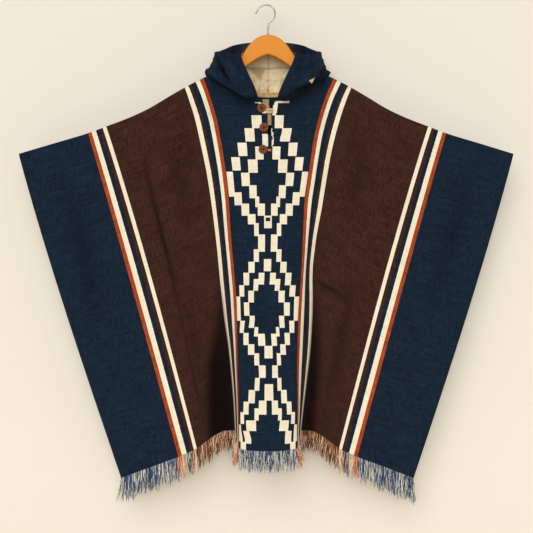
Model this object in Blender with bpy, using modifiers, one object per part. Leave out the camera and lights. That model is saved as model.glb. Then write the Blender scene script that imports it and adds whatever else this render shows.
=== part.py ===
"""A hooded Andean poncho that hangs on a flat wooden hanger.

The cloth is one long rectangle, folded over the shoulders, with stepped diamonds down its centre
panel and a fringe on both hems. A hood stands round the neck, and three buttons close a short slit.
The origin is the top of the inside of the hook, where a rail or a peg carries everything. X runs to
the viewer's right, the front faces -Y and +Z is up. All sizes are in metres.
"""

import math

import bmesh
import bpy
import numpy as np
from mathutils import Vector

# ---------------------------------------------------------------- driving sizes
WALL = 0.0022            # woven cloth
SEAM = 0.0003            # space between two pieces that are sewn or laid together
MIDDLE_SHIFT = 0.0050    # the neck sits this far to the right of the hook

PANEL = 0.129            # flat half width of the centre panel
STRIPE_GROUP = 0.053     # narrow stripes between two wide colours
BROWN = 0.213            # wide brown panel
WING = 0.184             # wide outer panel

BROWN_START = PANEL + STRIPE_GROUP
BROWN_END = BROWN_START + BROWN
WING_START = BROWN_END + STRIPE_GROUP
CLOTH_EDGE = WING_START + WING

# Lines that run down the cloth. Each row: distance from the centre of the flat cloth; x and z where
# the line leaves the shoulder fold; x and z where it meets the hem; how far it bows outwards.
LINE_COLUMNS = ("cloth", "top_x", "top_z", "hem_x", "hem_z", "bow")
LINES = np.array([
    (PANEL,                       0.1549, -0.1805, 0.0727, -1.1240, -0.0315),
    (BROWN_START,                 0.2048, -0.2056, 0.0839, -1.0850, -0.0215),
    (BROWN_START + 0.25 * BROWN,  0.2542, -0.2340, 0.1080, -1.0862, -0.0180),
    (BROWN_START + 0.50 * BROWN,  0.3036, -0.2636, 0.1352, -1.0974, -0.0140),
    (BROWN_START + 0.75 * BROWN,  0.3556, -0.2880, 0.1563, -1.1107, -0.0100),
    (BROWN_END,                   0.4096, -0.3087, 0.1780, -1.1263, -0.0067),
    (WING_START,                  0.4564, -0.3264, 0.2249, -1.1485, -0.0018),
    (WING_START + 0.5 * WING,     0.5445, -0.3530, 0.2986, -1.1775, 0.0030),
    (CLOTH_EDGE,                  0.6326, -0.3796, 0.3724, -1.2065, 0.0082),
])
BOW_POWER = 0.8          # below 1 the bow is fullest above the middle of the line
PANEL_HEM_DROP = 0.0060  # the hem at the centre hangs this much lower than at the panel's edge

# How far each line stands out from the plane of the hanger, at these fractions of its length.
DEPTH_LEVELS = (0.0, 0.10, 0.30, 0.55, 0.80, 1.0)
DEPTH_LINES = np.concatenate(([0.0], LINES[:, 0]))
FRONT_DEPTH = np.array([
    (0.0290, 0.0320, 0.0440, 0.0640, 0.0840, 0.0940),   # centre
    (0.0105, 0.0220, 0.0360, 0.0540, 0.0700, 0.0800),   # panel edge
    (0.0105, 0.0170, 0.0240, 0.0270, 0.0300, 0.0320),   # brown start
    (0.0105, 0.0140, 0.0190, 0.0180, 0.0170, 0.0170),   # brown, first quarter
    (0.0095, 0.0120, 0.0170, 0.0200, 0.0220, 0.0240),   # brown, middle
    (0.0085, 0.0105, 0.0160, 0.0240, 0.0340, 0.0440),   # brown, last quarter
    (0.0075, 0.0095, 0.0160, 0.0270, 0.0420, 0.0550),   # brown end
    (0.0070, 0.0085, 0.0150, 0.0260, 0.0400, 0.0500),   # wing start
    (0.0065, 0.0075, 0.0120, 0.0190, 0.0280, 0.0340),   # wing, middle
    (0.0060, 0.0065, 0.0090, 0.0130, 0.0180, 0.0220),   # side edge
])
BACK_DEPTH = np.array([
    (0.0160, 0.0180, 0.0260, 0.0380, 0.0480, 0.0540),
    (0.0105, 0.0160, 0.0240, 0.0340, 0.0430, 0.0480),
    (0.0105, 0.0140, 0.0180, 0.0200, 0.0220, 0.0240),
    (0.0105, 0.0130, 0.0160, 0.0170, 0.0180, 0.0180),
    (0.0095, 0.0120, 0.0160, 0.0180, 0.0200, 0.0220),
    (0.0085, 0.0105, 0.0150, 0.0210, 0.0270, 0.0330),
    (0.0075, 0.0095, 0.0150, 0.0230, 0.0330, 0.0410),
    (0.0070, 0.0085, 0.0140, 0.0220, 0.0320, 0.0380),
    (0.0065, 0.0075, 0.0110, 0.0160, 0.0220, 0.0260),
    (0.0060, 0.0065, 0.0080, 0.0100, 0.0130, 0.0150),
])
DEPTH_AT_NECK = 0.0105
NECK_TURN = 0.955        # an extra column near the panel's edge, for the turn of the neckline
NECK_ROUNDING = 30       # how squarely the neckline turns from the throat back to the side
PANEL_ROUNDING = (0.1, 1.2)   # how far the panel wraps round at its top and at its hem, in radians
PANEL_FLATNESS = 2.5     # above 1 the panel keeps its middle's depth until near its edges

# Height of the neckline at fractions of the way from the centre to the panel's edge.
FRONT_NECKLINE = np.array([(0.0, -0.2420), (0.26, -0.2450), (0.47, -0.2350),
                           (0.64, -0.2194), (0.91, -0.1907), (1.0, -0.1805)])
BACK_NECKLINE = np.array([(0.0, -0.2340), (0.4, -0.2290), (0.7, -0.2120), (1.0, -0.1805)])

# The open slit: height, then how far its left and right edges stand from the centre line.
SLIT = np.array([(-0.3720, 0.0000, 0.0000), (-0.3550, 0.0012, 0.0085), (-0.3200, 0.0010, 0.0085),
                 (-0.2800, 0.0035, 0.0075), (-0.2420, 0.0140, 0.0105)])

FOLD_LIP = 0.0030        # flat top of the shoulder fold
FOLD_DROP = 0.0080       # height of the shoulder fold's round
NECK_CORNER = 0.0013     # the fold opens this far to each side where the neckline ends
FOLD_ANGLES = (30.0, 60.0, 90.0)
FOLD_FALL = 0.016        # the fold's rows take this fraction of the way to the hem
FIRST_FALL = 0.030       # and the first row below them is here
# Steps between the columns in the panel, narrow stripes, brown panel, narrow stripes and wing.
FRONT_STEPS = (9, 3, 8, 2, 4)
BACK_STEPS = (7, 3, 6, 2, 3)
FRONT_ROWS = 16
BACK_ROWS = 13

# ---------------------------------------------------------------- hood
HOOD_WALL = 0.0024
HOOD_SEAM = 0.0011       # space between the halves' outer faces, which lean together further in
HOOD_RIM_AT = 0.100      # the hood's edge starts here on the neckline, as a fraction of the panel
# Top edge of the hood's wall: place round the half hood (0 throat, 1 middle of the back), x, y, z.
HOOD_TOP = np.array([
    (0.00, 0.0684, -0.030, -0.1254),
    (0.15, 0.0906, -0.040, -0.1300),
    (0.32, 0.1150, -0.036, -0.1236),
    (0.43, 0.1310, -0.022, -0.1205),
    (0.50, 0.1370, 0.000, -0.1200),
    (0.57, 0.1320, 0.022, -0.1160),
    (0.68, 0.1100, 0.040, -0.1050),
    (0.78, 0.0880, 0.047, -0.0950),
    (0.89, 0.0490, 0.052, -0.0880),
    (1.00, 0.0000, 0.054, -0.0865),
])
# Bulge of the wall: place, outwards and down near the neck, outwards and down near the top.
HOOD_BULGE = np.array([
    (0.00, 0.006, -0.030, 0.010, 0.030),
    (0.25, 0.012, -0.020, 0.012, 0.022),
    (0.50, -0.002, -0.020, 0.000, 0.016),
    (0.75, 0.036, 0.030, 0.032, 0.020),
    (1.00, 0.075, 0.055, 0.055, 0.025),
])
# Edge of the crown, behind the hanger's arch: x, y, z from the side to the middle.
CROWN_EDGE = np.array([(0.0620, 0.012, -0.1120), (0.0450, 0.016, -0.1180),
                       (0.0240, 0.018, -0.1285), (0.0000, 0.018, -0.1335)])
HOOD_FRONT_COLUMNS = 7
HOOD_ROWS = 8
CROWN_ROWS = 4
TOP_VALLEY = 0.012       # dent across the top of the hood, between its front and its back
CROWN_RISE = 0.003       # the crown behind the arch swells by this much
HOOD_LIFT = 2 * SEAM     # between its ends the hood's seam stands this much further off the neckline
MATCH_POINTS = 200       # points read along the top edge to find the columns behind the front ones

# ---------------------------------------------------------------- trims
TAPE_HEIGHT = 0.013
TAPE_HALF_LENGTH = 0.085
TAPE_WALL = 0.0010
TAPE_COLUMNS = 7
FACING_WALL = 0.0012
FACING_TOP = -0.2430
FACING_END = -0.3090
FACING_HIDDEN = 0.010    # width of the facing behind the cloth
FACING_SHOWN = 0.0075    # width of the facing in the open slit
FACING_ROWS = 8

BUTTON_RADIUS = 0.0115
# Profile of a button from its flat back to its dished middle: distance in from its rim, and height.
BUTTON_PROFILE = ((0.0012, 0.0), (0.0, 0.0014), (0.0, 0.0032), (0.0010, 0.0042), (0.0030, 0.0040),
                  (0.0040, 0.0031))
BUTTON_MIDDLE = 0.0028   # thickness in the middle
BUTTON_HOLE = 0.0013
HOLE_PLACES = (-0.0026, 0.0026)
HOLE_SIDES = 8
DRILL_LENGTH = 0.020
BUTTON_STEPS = 20
BUTTON_GAP = 2.5 * SEAM
# Buttons, from the top: x from the slit's centre line, and height.
BUTTONS = {"button_1": (-0.0165, -0.2651), "button_2": (-0.0108, -0.3150),
           "button_3": (-0.0128, -0.3710)}
# Loops: button, height, length past the button's centre, half gap of the loop, cord radius.
LOOPS = {"loop_1": ("button_1", -0.2730, 0.0280, 0.0034, 0.0016),
         "loop_3": ("button_3", -0.3728, 0.0205, 0.0016, 0.0011)}
LOOP_CLEARANCE = 0.0015  # between a button's rim and its loop
LOOP_ANGLES = (90, 60, 30, 0, -30, -60, -90)

FRINGE_LENGTH = 0.056
FRINGE_STRIP = 0.004     # height of the strip that holds the strands' roots
FRINGE_WALL = 0.0020
FRINGE_GAP = 0.0008
FRONT_STRANDS = 100
BACK_STRANDS = 80
STRAND_TAPER = (0.80, 0.42)   # width of a strand half way down and at its tip
STRAND_RAGGED = 0.08     # strands are up to this fraction longer or shorter
STRAND_SWAY = 0.0035
LENGTH_STEP = 2.3        # phase steps of the waves that set the strands' lengths and their sway:
SWAY_STEP = 0.55         # from one strand to the next,
BEND_STEP = 0.8          # and from one half of a strand to the other
CALM_STRANDS = 0.100     # nearer the middle than this, strands only lean a little outwards
CALM_SWAY = 0.3          # and this fraction of the sway is left
STEEPEST_ROOT = 2.0      # no strand starts where the hem climbs more steeply than this

# ---------------------------------------------------------------- hanger
WOOD_THICKNESS = 0.012
WOOD_ROUND = 0.003
# Edges of the flat wooden arch: x, z of its upper edge, then of its lower edge.
WOOD_UPPER = np.array([(0.0000, -0.0742), (0.0220, -0.0795), (0.0467, -0.0990), (0.0684, -0.1300),
                       (0.1000, -0.1580), (0.1300, -0.1820), (0.1549, -0.1968), (0.1800, -0.2025),
                       (0.2048, -0.2092), (0.2130, -0.2138)])
WOOD_LOWER = np.array([(0.0000, -0.1242), (0.0200, -0.1290), (0.0520, -0.1523), (0.1000, -0.1835),
                       (0.1300, -0.2060), (0.1549, -0.2195), (0.2048, -0.2320), (0.2100, -0.2336)])
WOOD_END_POINTS = 5
WOOD_STEPS = 14

HOOK_WIRE = 0.0019       # radius of the wire
HOOK_RADIUS = 0.0230     # from the middle of the hook's round to the middle of the wire
HOOK_START = -62.0       # angle where the round leaves the shank, from +X
HOOK_END = 150.0
HOOK_TIP = 0.0140        # straight end of the wire after the round
HOOK_POINTS = 20
# The shank from the wood up: x and height from the top of the arch, then from the round's start.
SHANK = np.array([(0.0, SEAM), (0.0, 0.010), (0.0006, 0.020)])
SHANK_TOP = (-0.0045, -0.0045)

NAVY = (0.012, 0.022, 0.045)
PALE = (0.58, 0.43, 0.24)
YARN = (0.05, 0.10, 0.20)
CARVED_WOOD = (0.28, 0.075, 0.035)
HONEY_WOOD = (0.62, 0.27, 0.07)
STEEL = (0.35, 0.34, 0.33)

MERGE = 0.00001


def material(name, colour, roughness, metallic=0.0):
    """A plain Principled material."""
    made = bpy.data.materials.new(name)
    made.use_nodes = True
    shader = made.node_tree.nodes["Principled BSDF"]
    shader.inputs["Base Color"].default_value = (*colour, 1.0)
    shader.inputs["Roughness"].default_value = roughness
    shader.inputs["Metallic"].default_value = metallic
    return made


def smooth(knots, values, at):
    """Read a monotone cubic curve through (knots, values); values may hold a curve for each point."""
    knots = np.asarray(knots, dtype=float)
    values = np.asarray(values, dtype=float)
    at = np.asarray(at, dtype=float)
    if values.ndim == 1:
        values = np.repeat(values[:, None], at.size, axis=1)
    gaps = np.diff(knots)[:, None]
    rise = np.diff(values, axis=0) / gaps
    before, after = rise[:-1], rise[1:]
    weight_before = 2 * gaps[1:] + gaps[:-1]
    weight_after = gaps[1:] + 2 * gaps[:-1]
    slope = np.empty_like(values)
    slope[0], slope[-1] = rise[0], rise[-1]
    turns = before * after <= 0
    safe_before = np.where(turns, 1.0, before)
    safe_after = np.where(turns, 1.0, after)
    mean = (weight_before + weight_after) / (weight_before / safe_before + weight_after / safe_after)
    slope[1:-1] = np.where(turns, 0.0, mean)
    flat = at.ravel()
    cell = np.clip(np.searchsorted(knots, flat, side="right") - 1, 0, len(knots) - 2)
    point = np.arange(flat.size)
    width = np.diff(knots)[cell]
    t = np.clip((flat - knots[cell]) / width, 0.0, 1.0)
    low, high = values[cell, point], values[cell + 1, point]
    slope_low, slope_high = slope[cell, point] * width, slope[cell + 1, point] * width
    read = (low * (1 + 2 * t) * (1 - t) ** 2 + slope_low * t * (1 - t) ** 2
            + high * t * t * (3 - 2 * t) - slope_high * t * t * (1 - t))
    return read.reshape(at.shape)


def line_value(column, cloth):
    """One column of LINES, read at a distance from the centre of the flat cloth."""
    return smooth(LINES[:, 0], LINES[:, LINE_COLUMNS.index(column)], cloth)


def line_x(cloth, fall):
    """x of a line after this fraction of its way from the shoulder fold to the hem."""
    top, hem = line_value("top_x", cloth), line_value("hem_x", cloth)
    return top + (hem - top) * fall + line_value("bow", cloth) * np.sin(math.pi * fall ** BOW_POWER)


def panel_fall(z):
    """How far down the panel's edge this height is, as a fraction of the edge's way to the hem."""
    edge_top, edge_hem = LINES[0, 2], LINES[0, 4]
    return np.clip((z - edge_top) / (edge_hem - edge_top), 0.0, 1.0)


def cloth_depth(table, cloth, fall):
    """How far the cloth's outer face stands out from the hanger's plane."""
    per_line = np.array([smooth(DEPTH_LEVELS, row, fall).ravel() for row in table])
    rounded = np.where(cloth < PANEL, PANEL * (cloth / PANEL) ** PANEL_FLATNESS, cloth)
    return smooth(DEPTH_LINES, per_line, rounded.ravel()).reshape(cloth.shape)


def shift_middle(x):
    """Slide the middle of the garment sideways, and leave its side edges in place."""
    return x + MIDDLE_SHIFT * (1 - (x / LINES[-1, 1]) ** 2)


def cloth_columns(panel, group, brown, narrow, wing):
    """Distances from the centre of the flat cloth, with so many steps in each of its stretches."""
    stops = (0.0, PANEL, BROWN_START, BROWN_END, WING_START, CLOTH_EDGE)
    stretches = [np.linspace(stops[k], stops[k + 1], steps, endpoint=False)
                 for k, steps in enumerate((panel, group, brown, narrow, wing))]
    stretches[0] = np.append(stretches[0], NECK_TURN * PANEL)
    return np.concatenate(stretches + [[CLOTH_EDGE]])


def fold_shape():
    """How far each row of the shoulder fold's round stands out, as a fraction of the whole."""
    lip = FOLD_LIP / DEPTH_AT_NECK
    turned = lip + (1 - lip) * np.sin(np.radians(FOLD_ANGLES))
    return np.concatenate(([SEAM / 2 / DEPTH_AT_NECK, lip], turned))


def cloth_grid(front, side, cloth, rows):
    """Points of half a cloth, from its top edge to its hem, with x counted from the centre."""
    table = FRONT_DEPTH if front else BACK_DEPTH
    neckline = FRONT_NECKLINE if front else BACK_NECKLINE
    facing = -1.0 if front else 1.0
    fold_rows = 2 + len(FOLD_ANGLES)
    row_falls = np.concatenate((np.linspace(0.0, FOLD_FALL, fold_rows),
                                np.linspace(FIRST_FALL, 1.0, rows)))
    fall, s = np.meshgrid(row_falls, cloth, indexing="ij")
    outer = np.maximum(s, PANEL)
    top_z, hem_z = line_value("top_z", outer), line_value("hem_z", outer)
    z = top_z + (hem_z - top_z) * fall
    x = line_x(outer, fall)

    part = np.clip(s / PANEL, 0.0, 1.0)
    in_panel = s < PANEL - MERGE
    neck_z = smooth(neckline[:, 0], neckline[:, 1], part)
    hem_here = LINES[0, 4] - PANEL_HEM_DROP * (1 - part ** 2)
    panel_z = neck_z + (hem_here - neck_z) * fall
    edge_fall = panel_fall(panel_z)
    wrap = PANEL_ROUNDING[0] + (PANEL_ROUNDING[1] - PANEL_ROUNDING[0]) * edge_fall
    half_width = line_x(np.full_like(s, PANEL), edge_fall)
    panel_x = half_width * np.sin(part * wrap) / np.sin(wrap)
    if front:
        slit_edge = smooth(SLIT[:, 0], SLIT[:, 1 if side < 0 else 2], panel_z)
        slit_edge = np.where(panel_z < SLIT[0, 0], 0.0, slit_edge)
        panel_x = panel_x + slit_edge * (1 - part) ** 2
    x = np.where(in_panel, panel_x, x)
    z = np.where(in_panel, panel_z, z)
    y = cloth_depth(table, s, np.where(in_panel, edge_fall, fall))
    lift = np.concatenate((fold_shape(), np.ones(rows)))[:, None]
    y = np.where(in_panel, y * (lift + (1 - lift) * np.sqrt(1 - part ** NECK_ROUNDING)), y)

    crest = line_value("top_z", cloth[cloth >= PANEL - MERGE])
    thick = cloth_depth(table, cloth[cloth >= PANEL - MERGE], np.zeros_like(crest))
    over = cloth >= PANEL - MERGE
    fold = [(SEAM / 2, 0.0), (FOLD_LIP, 0.0)]
    fold += [(None, math.radians(angle)) for angle in FOLD_ANGLES]
    for row, (flat_y, angle) in enumerate(fold):
        round_y = FOLD_LIP + (thick - FOLD_LIP) * math.sin(angle)
        y[row, over] = flat_y if flat_y is not None else round_y
        z[row, over] = crest - FOLD_DROP * (1 - math.cos(angle))
        x[row, over] = line_value("top_x", cloth[over])
    y[0, np.argmax(over)] = NECK_CORNER
    return np.stack((x, facing * y, z), axis=-1)


def placed(points, side):
    """Turn points of a right half into those of either half, where they hang."""
    return np.stack((shift_middle(side * points[..., 0]), points[..., 1], points[..., 2]), axis=-1)


def sheet_into(mesh, points):
    """Add a grid of points to a bmesh, as an open sheet of quads."""
    rows, columns = points.shape[:2]
    made = bmesh.ops.create_grid(mesh, x_segments=columns - 1, y_segments=rows - 1, size=1.0)
    for vert in made["verts"]:
        column = round((vert.co.x + 1) / 2 * (columns - 1))
        row = round((vert.co.y + 1) / 2 * (rows - 1))
        vert.co = points[row, column]


def turn_outwards(mesh, near, outwards):
    """Make the faces point so that the one nearest to a place faces outwards there."""
    mesh.normal_update()
    face = min(mesh.faces, key=lambda f: (f.calc_center_median() - Vector(near)).length)
    if face.normal.dot(Vector(outwards)) < 0:
        bmesh.ops.reverse_faces(mesh, faces=mesh.faces)


def tidy_sheet(mesh):
    """Join the points that coincide, and drop the faces that this leaves empty."""
    bmesh.ops.remove_doubles(mesh, verts=mesh.verts, dist=MERGE)
    bmesh.ops.dissolve_degenerate(mesh, edges=mesh.edges, dist=MERGE)


def new_object(name, mesh, collection, look):
    """Turn a bmesh into an object with one material."""
    data = bpy.data.meshes.new(name)
    mesh.to_mesh(data)
    mesh.free()
    data.materials.append(look)
    made = bpy.data.objects.new(name, data)
    collection.objects.link(made)
    return made


def give_thickness(made, thickness):
    """Thicken an open sheet inwards from its outer face."""
    shell = made.modifiers.new("thickness", "SOLIDIFY")
    shell.thickness = thickness
    shell.offset = -1.0
    shell.use_even_offset = True
    for face in made.data.polygons:
        face.use_smooth = True


def build_cloth(name, front, cloth, rows, collection, look):
    """The front or the back, as two halves that meet on the centre line below the slit."""
    mesh = bmesh.new()
    halves = {side: cloth_grid(front, side, cloth, rows) for side in (-1, 1)}
    for side, points in halves.items():
        sheet_into(mesh, placed(points, side))
    tidy_sheet(mesh)
    bmesh.ops.recalc_face_normals(mesh, faces=mesh.faces)
    turn_outwards(mesh, (0.2, 0.0, -0.8), (0, -1 if front else 1, 0))
    give_thickness(new_object(name, mesh, collection, look), WALL)
    return halves


def at_corners(directions):
    """Turn a unit direction of each segment into one at each point, long enough for its corner."""
    mean = np.concatenate((directions[:1], directions[1:] + directions[:-1], directions[-1:]))
    mean /= np.linalg.norm(mean, axis=1)[:, None]
    ends = np.concatenate((directions[:1], directions))
    return mean / np.sum(mean * ends, axis=1)[:, None]


def hem_lines(halves, front):
    """The hem's outer edge from left to right, and its directions inwards and away from it."""
    last, above = (np.concatenate((placed(halves[-1][row][::-1], -1), placed(halves[1][row][1:], 1)))
                   for row in (-1, -2))
    along = np.diff(last, axis=0)
    along /= np.linalg.norm(along, axis=1)[:, None]
    inwards = np.cross(along, (last - above)[1:] + (last - above)[:-1])
    inwards /= np.linalg.norm(inwards, axis=1)[:, None]
    inwards *= np.sign(inwards[:, 1:2]) * (1 if front else -1)
    away = np.cross(along, inwards)
    away *= np.sign(away[:, 2:]) * -1
    return last, at_corners(inwards), at_corners(away)


def build_fringe(name, halves, strands, front, collection, look):
    """A narrow strip along the hem, with the strands drawn down out of its underside."""
    hem, inwards, away = hem_lines(halves, front)
    steps = np.linalg.norm(np.diff(hem, axis=0), axis=1)
    lengths = np.concatenate(([0.0], np.cumsum(steps)))
    parts = np.maximum(1, np.round(steps / lengths[-1] * 2 * strands)).astype(int)
    stations = np.concatenate([np.linspace(lengths[k], lengths[k + 1], count, endpoint=False)
                               for k, count in enumerate(parts)] + [lengths[-1:]])
    line, inwards, away = (np.stack([np.interp(stations, lengths, edge[:, axis])
                                     for axis in range(3)], axis=-1) for edge in (hem, inwards, away))
    section = []
    for depth, height in ((0, 0), (0, FRINGE_STRIP), (FRINGE_WALL, FRINGE_STRIP), (FRINGE_WALL, 0)):
        section.append(line + inwards * depth + away * (FRINGE_GAP + height))
    loop = np.stack(section + section[:1])

    mesh = bmesh.new()
    sheet_into(mesh, loop)
    bmesh.ops.remove_doubles(mesh, verts=mesh.verts, dist=MERGE)
    bmesh.ops.holes_fill(mesh, edges=[edge for edge in mesh.edges if edge.is_boundary], sides=4)
    bmesh.ops.recalc_face_normals(mesh, faces=mesh.faces)
    mesh.normal_update()

    lower = (section[1] + section[2]) / 2
    roots = []
    for start, end in zip(lower[:-1:2], lower[1::2]):
        if abs(end[2] - start[2]) > STEEPEST_ROOT * abs(end[0] - start[0]):
            continue
        under = Vector((start + end) / 2)
        roots.append(min(mesh.faces, key=lambda face: (face.calc_center_median() - under).length))
    drawn = bmesh.ops.extrude_discrete_faces(mesh, faces=roots)["faces"]
    for step, width in enumerate(STRAND_TAPER):
        if step:
            drawn = bmesh.ops.extrude_discrete_faces(mesh, faces=drawn)["faces"]
        for number, face in enumerate(drawn):
            centre = face.calc_center_median()
            reach = FRINGE_LENGTH * (1.0 + STRAND_RAGGED * math.sin(LENGTH_STEP * number))
            reach /= len(STRAND_TAPER)
            sway = STRAND_SWAY * math.sin(SWAY_STEP * number + BEND_STEP * step)
            if abs(centre.x) < CALM_STRANDS:
                sway = CALM_SWAY * math.copysign(sway, centre.x)
            before = STRAND_TAPER[step - 1] if step else 1.0
            shrink = width / before
            for vert in face.verts:
                vert.co = centre + (vert.co - centre) * shrink + Vector((sway, 0, 0))
            lowest = min(vert.co.z for vert in face.verts)
            for vert in face.verts:
                vert.co.z = lowest - reach
    return new_object(name, mesh, collection, look)


def hood_bottom(places, necklines):
    """The seam of the half hood on the neckline, from the throat round to the middle of the back."""
    ahead = np.clip(places / 0.5, 0.0, 1.0)
    behind = np.clip((places - 0.5) / 0.5, 0.0, 1.0)
    front_part = HOOD_RIM_AT + (1 - HOOD_RIM_AT) * ahead
    back_part = np.cos(behind * math.pi / 2)
    seam = np.empty((len(places), 3))
    for axis in range(3):
        on_front, on_back = (np.interp(part, columns / PANEL, edge[:, axis])
                             for part, (columns, edge) in zip((front_part, back_part), necklines))
        seam[:, axis] = np.where(places <= 0.5, on_front, on_back)
    seam[:, 1] = np.where(places == 0.5, 0.0, seam[:, 1])
    way = np.where(places < 0.5, ahead, behind)
    seam[:, 2] += SEAM + HOOD_LIFT * np.sqrt(np.clip(np.sin(way * math.pi), 0.0, 1.0))
    return seam


def hood_places():
    """Columns round the half hood: the front ones, then those behind, then the crown's."""
    ahead = np.linspace(0.0, 0.5, HOOD_FRONT_COLUMNS)
    top_x = smooth(HOOD_TOP[:5, 0], HOOD_TOP[:5, 1], ahead)
    behind = np.linspace(0.5, 1.0, MATCH_POINTS)
    behind_x = smooth(HOOD_TOP[4:, 0], HOOD_TOP[4:, 1], behind)
    matched = [float(np.interp(-x, -behind_x, behind)) for x in top_x[::-1][1:]]
    crown = [float(np.interp(-x, -behind_x, behind)) for x in CROWN_EDGE[:, 0]]
    return ahead, np.array(matched), np.array(crown)


def hood_wall(places, necklines):
    """Points of the half hood's wall, from the neckline up to its top edge."""
    bottom = hood_bottom(places, necklines)
    top = np.stack([smooth(HOOD_TOP[:, 0], HOOD_TOP[:, axis], places) for axis in (1, 2, 3)], axis=-1)
    out_low, down_low, out_high, down_high = (
        smooth(HOOD_BULGE[:, 0], HOOD_BULGE[:, column], places) for column in (1, 2, 3, 4))
    angle = (places - 0.5) * math.pi
    outwards = np.stack((np.cos(angle), np.sin(angle), np.zeros_like(angle)), axis=-1)
    down = np.array((0.0, 0.0, -1.0))
    low = bottom + outwards * out_low[:, None] + down * down_low[:, None]
    high = top + outwards * out_high[:, None] + down * down_high[:, None]
    t = np.linspace(0.0, 1.0, HOOD_ROWS + 1)[:, None, None]
    return ((1 - t) ** 3 * bottom + 3 * t * (1 - t) ** 2 * low
            + 3 * t * t * (1 - t) * high + t ** 3 * top)


def hood_crown(front_edge, back_edge, valley):
    """Points of a patch from one edge back to another, dented or raised between them."""
    t = np.linspace(0.0, 1.0, CROWN_ROWS + 1)[:, None, None]
    patch = (1 - t) * front_edge + t * back_edge
    patch[..., 2] -= 4 * t[..., 0] * (1 - t[..., 0]) * valley
    return patch


def build_hood(name, side, necklines, collection, look):
    """Half of the hood: its wall, the top that closes it and the crown behind the arch."""
    ahead, matched, crown_places = hood_places()
    places = np.concatenate((ahead, matched, crown_places))
    wall = hood_wall(places, necklines)
    front_top = wall[-1, :len(ahead)]
    behind_top = wall[-1, len(ahead) - 1:len(ahead) + len(matched)][::-1]
    width = np.linalg.norm(front_top - behind_top, axis=1)
    valley = TOP_VALLEY * np.clip(width / width[0], 0.0, 1.0)
    top = hood_crown(front_top, behind_top, valley)
    crown_top = wall[-1, len(ahead) + len(matched) - 1:]
    crown_edge = np.concatenate((front_top[:1], CROWN_EDGE))
    crown = hood_crown(crown_edge, crown_top, np.array([TOP_VALLEY] + [-CROWN_RISE] * len(CROWN_EDGE)))

    mesh = bmesh.new()
    for points in (wall, top, crown):
        sheet_into(mesh, placed(points + (HOOD_SEAM / 2, 0.0, 0.0), side))
    tidy_sheet(mesh)
    bmesh.ops.recalc_face_normals(mesh, faces=mesh.faces)
    turn_outwards(mesh, (side * 0.09, -0.05, -0.17), (0, -1, 0))
    give_thickness(new_object(name, mesh, collection, look), HOOD_WALL)


def build_neck_tape(necklines, collection, look):
    """The tape inside the back of the neck, laid on the hood's wall."""
    parts = np.linspace(0.0, TAPE_HALF_LENGTH / LINES[0, 1], TAPE_COLUMNS)
    places = 0.5 + np.arccos(parts) / math.pi
    mesh = bmesh.new()
    base = hood_bottom(places, necklines)
    lifted = base.copy()
    lifted[:, 2] += TAPE_HEIGHT
    strip = np.stack((base, lifted))
    strip[..., 1] -= HOOD_WALL + 2 * SEAM
    both = np.concatenate((strip[:, ::-1] * (-1, 1, 1), strip[:, 1:]), axis=1)
    both[..., 0] += MIDDLE_SHIFT
    sheet_into(mesh, both)
    turn_outwards(mesh, (0, 0, -0.22), (0, 1, 0))
    give_thickness(new_object("neck_tape", mesh, collection, look), TAPE_WALL)


def front_surface(x, z):
    """Depth of the front's outer face near the centre line."""
    fall = panel_fall(z)
    half_width = line_x(np.full_like(fall, PANEL), fall)
    part = np.clip(np.abs(x) / half_width, 0.0, 1.0)
    return -cloth_depth(FRONT_DEPTH, part * PANEL, fall)


def build_facing(collection, look):
    """The pale strip behind the left edge of the slit, of which a part shows in the opening."""
    z = np.linspace(FACING_TOP, FACING_END, FACING_ROWS)
    edge = -smooth(SLIT[:, 0], SLIT[:, 1], z)
    x = np.stack((edge - FACING_HIDDEN, edge, edge + FACING_SHOWN), axis=-1)
    z = np.repeat(z[:, None], 3, axis=1)
    y = front_surface(x, z) + WALL + 2 * SEAM
    mesh = bmesh.new()
    sheet_into(mesh, np.stack((x + MIDDLE_SHIFT, y, z), axis=-1))
    turn_outwards(mesh, (0, -0.03, -0.28), (0, -1, 0))
    give_thickness(new_object("slit_facing", mesh, collection, look), FACING_WALL)


def build_button(name, x, z, collection, look, cutters):
    """A turned round button with a raised rim, a dished middle and two holes."""
    profile = [(0.0, 0.0)] + [(BUTTON_RADIUS - inwards, height) for inwards, height in BUTTON_PROFILE]
    profile.append((0.0, BUTTON_MIDDLE))
    mesh = bmesh.new()
    verts = [mesh.verts.new((radius, 0, height)) for radius, height in reversed(profile)]
    for first, second in zip(verts, verts[1:]):
        mesh.edges.new((first, second))
    button = new_object(name, mesh, collection, look)
    spin = button.modifiers.new("turn", "SCREW")
    spin.steps = spin.render_steps = BUTTON_STEPS
    spin.use_merge_vertices = True
    spin.merge_threshold = MERGE
    for number, offset in enumerate(HOLE_PLACES):
        drill = bmesh.new()
        bmesh.ops.create_cone(drill, cap_ends=True, segments=HOLE_SIDES, radius1=BUTTON_HOLE,
                              radius2=BUTTON_HOLE, depth=DRILL_LENGTH)
        hole = new_object(f"{name}_hole_{number}", drill, cutters, look)
        hole.parent = button
        hole.location = (offset, 0, 0)
        hole.hide_render = True
        hole.display_type = "WIRE"
        cut = button.modifiers.new("hole", "BOOLEAN")
        cut.operation = "DIFFERENCE"
        cut.object = hole
    y = float(front_surface(np.array([x]), np.array([z]))[0])
    button.location = (x + MIDDLE_SHIFT, y - BUTTON_GAP, z)
    button.rotation_euler = (math.radians(90), 0, 0)


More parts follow.
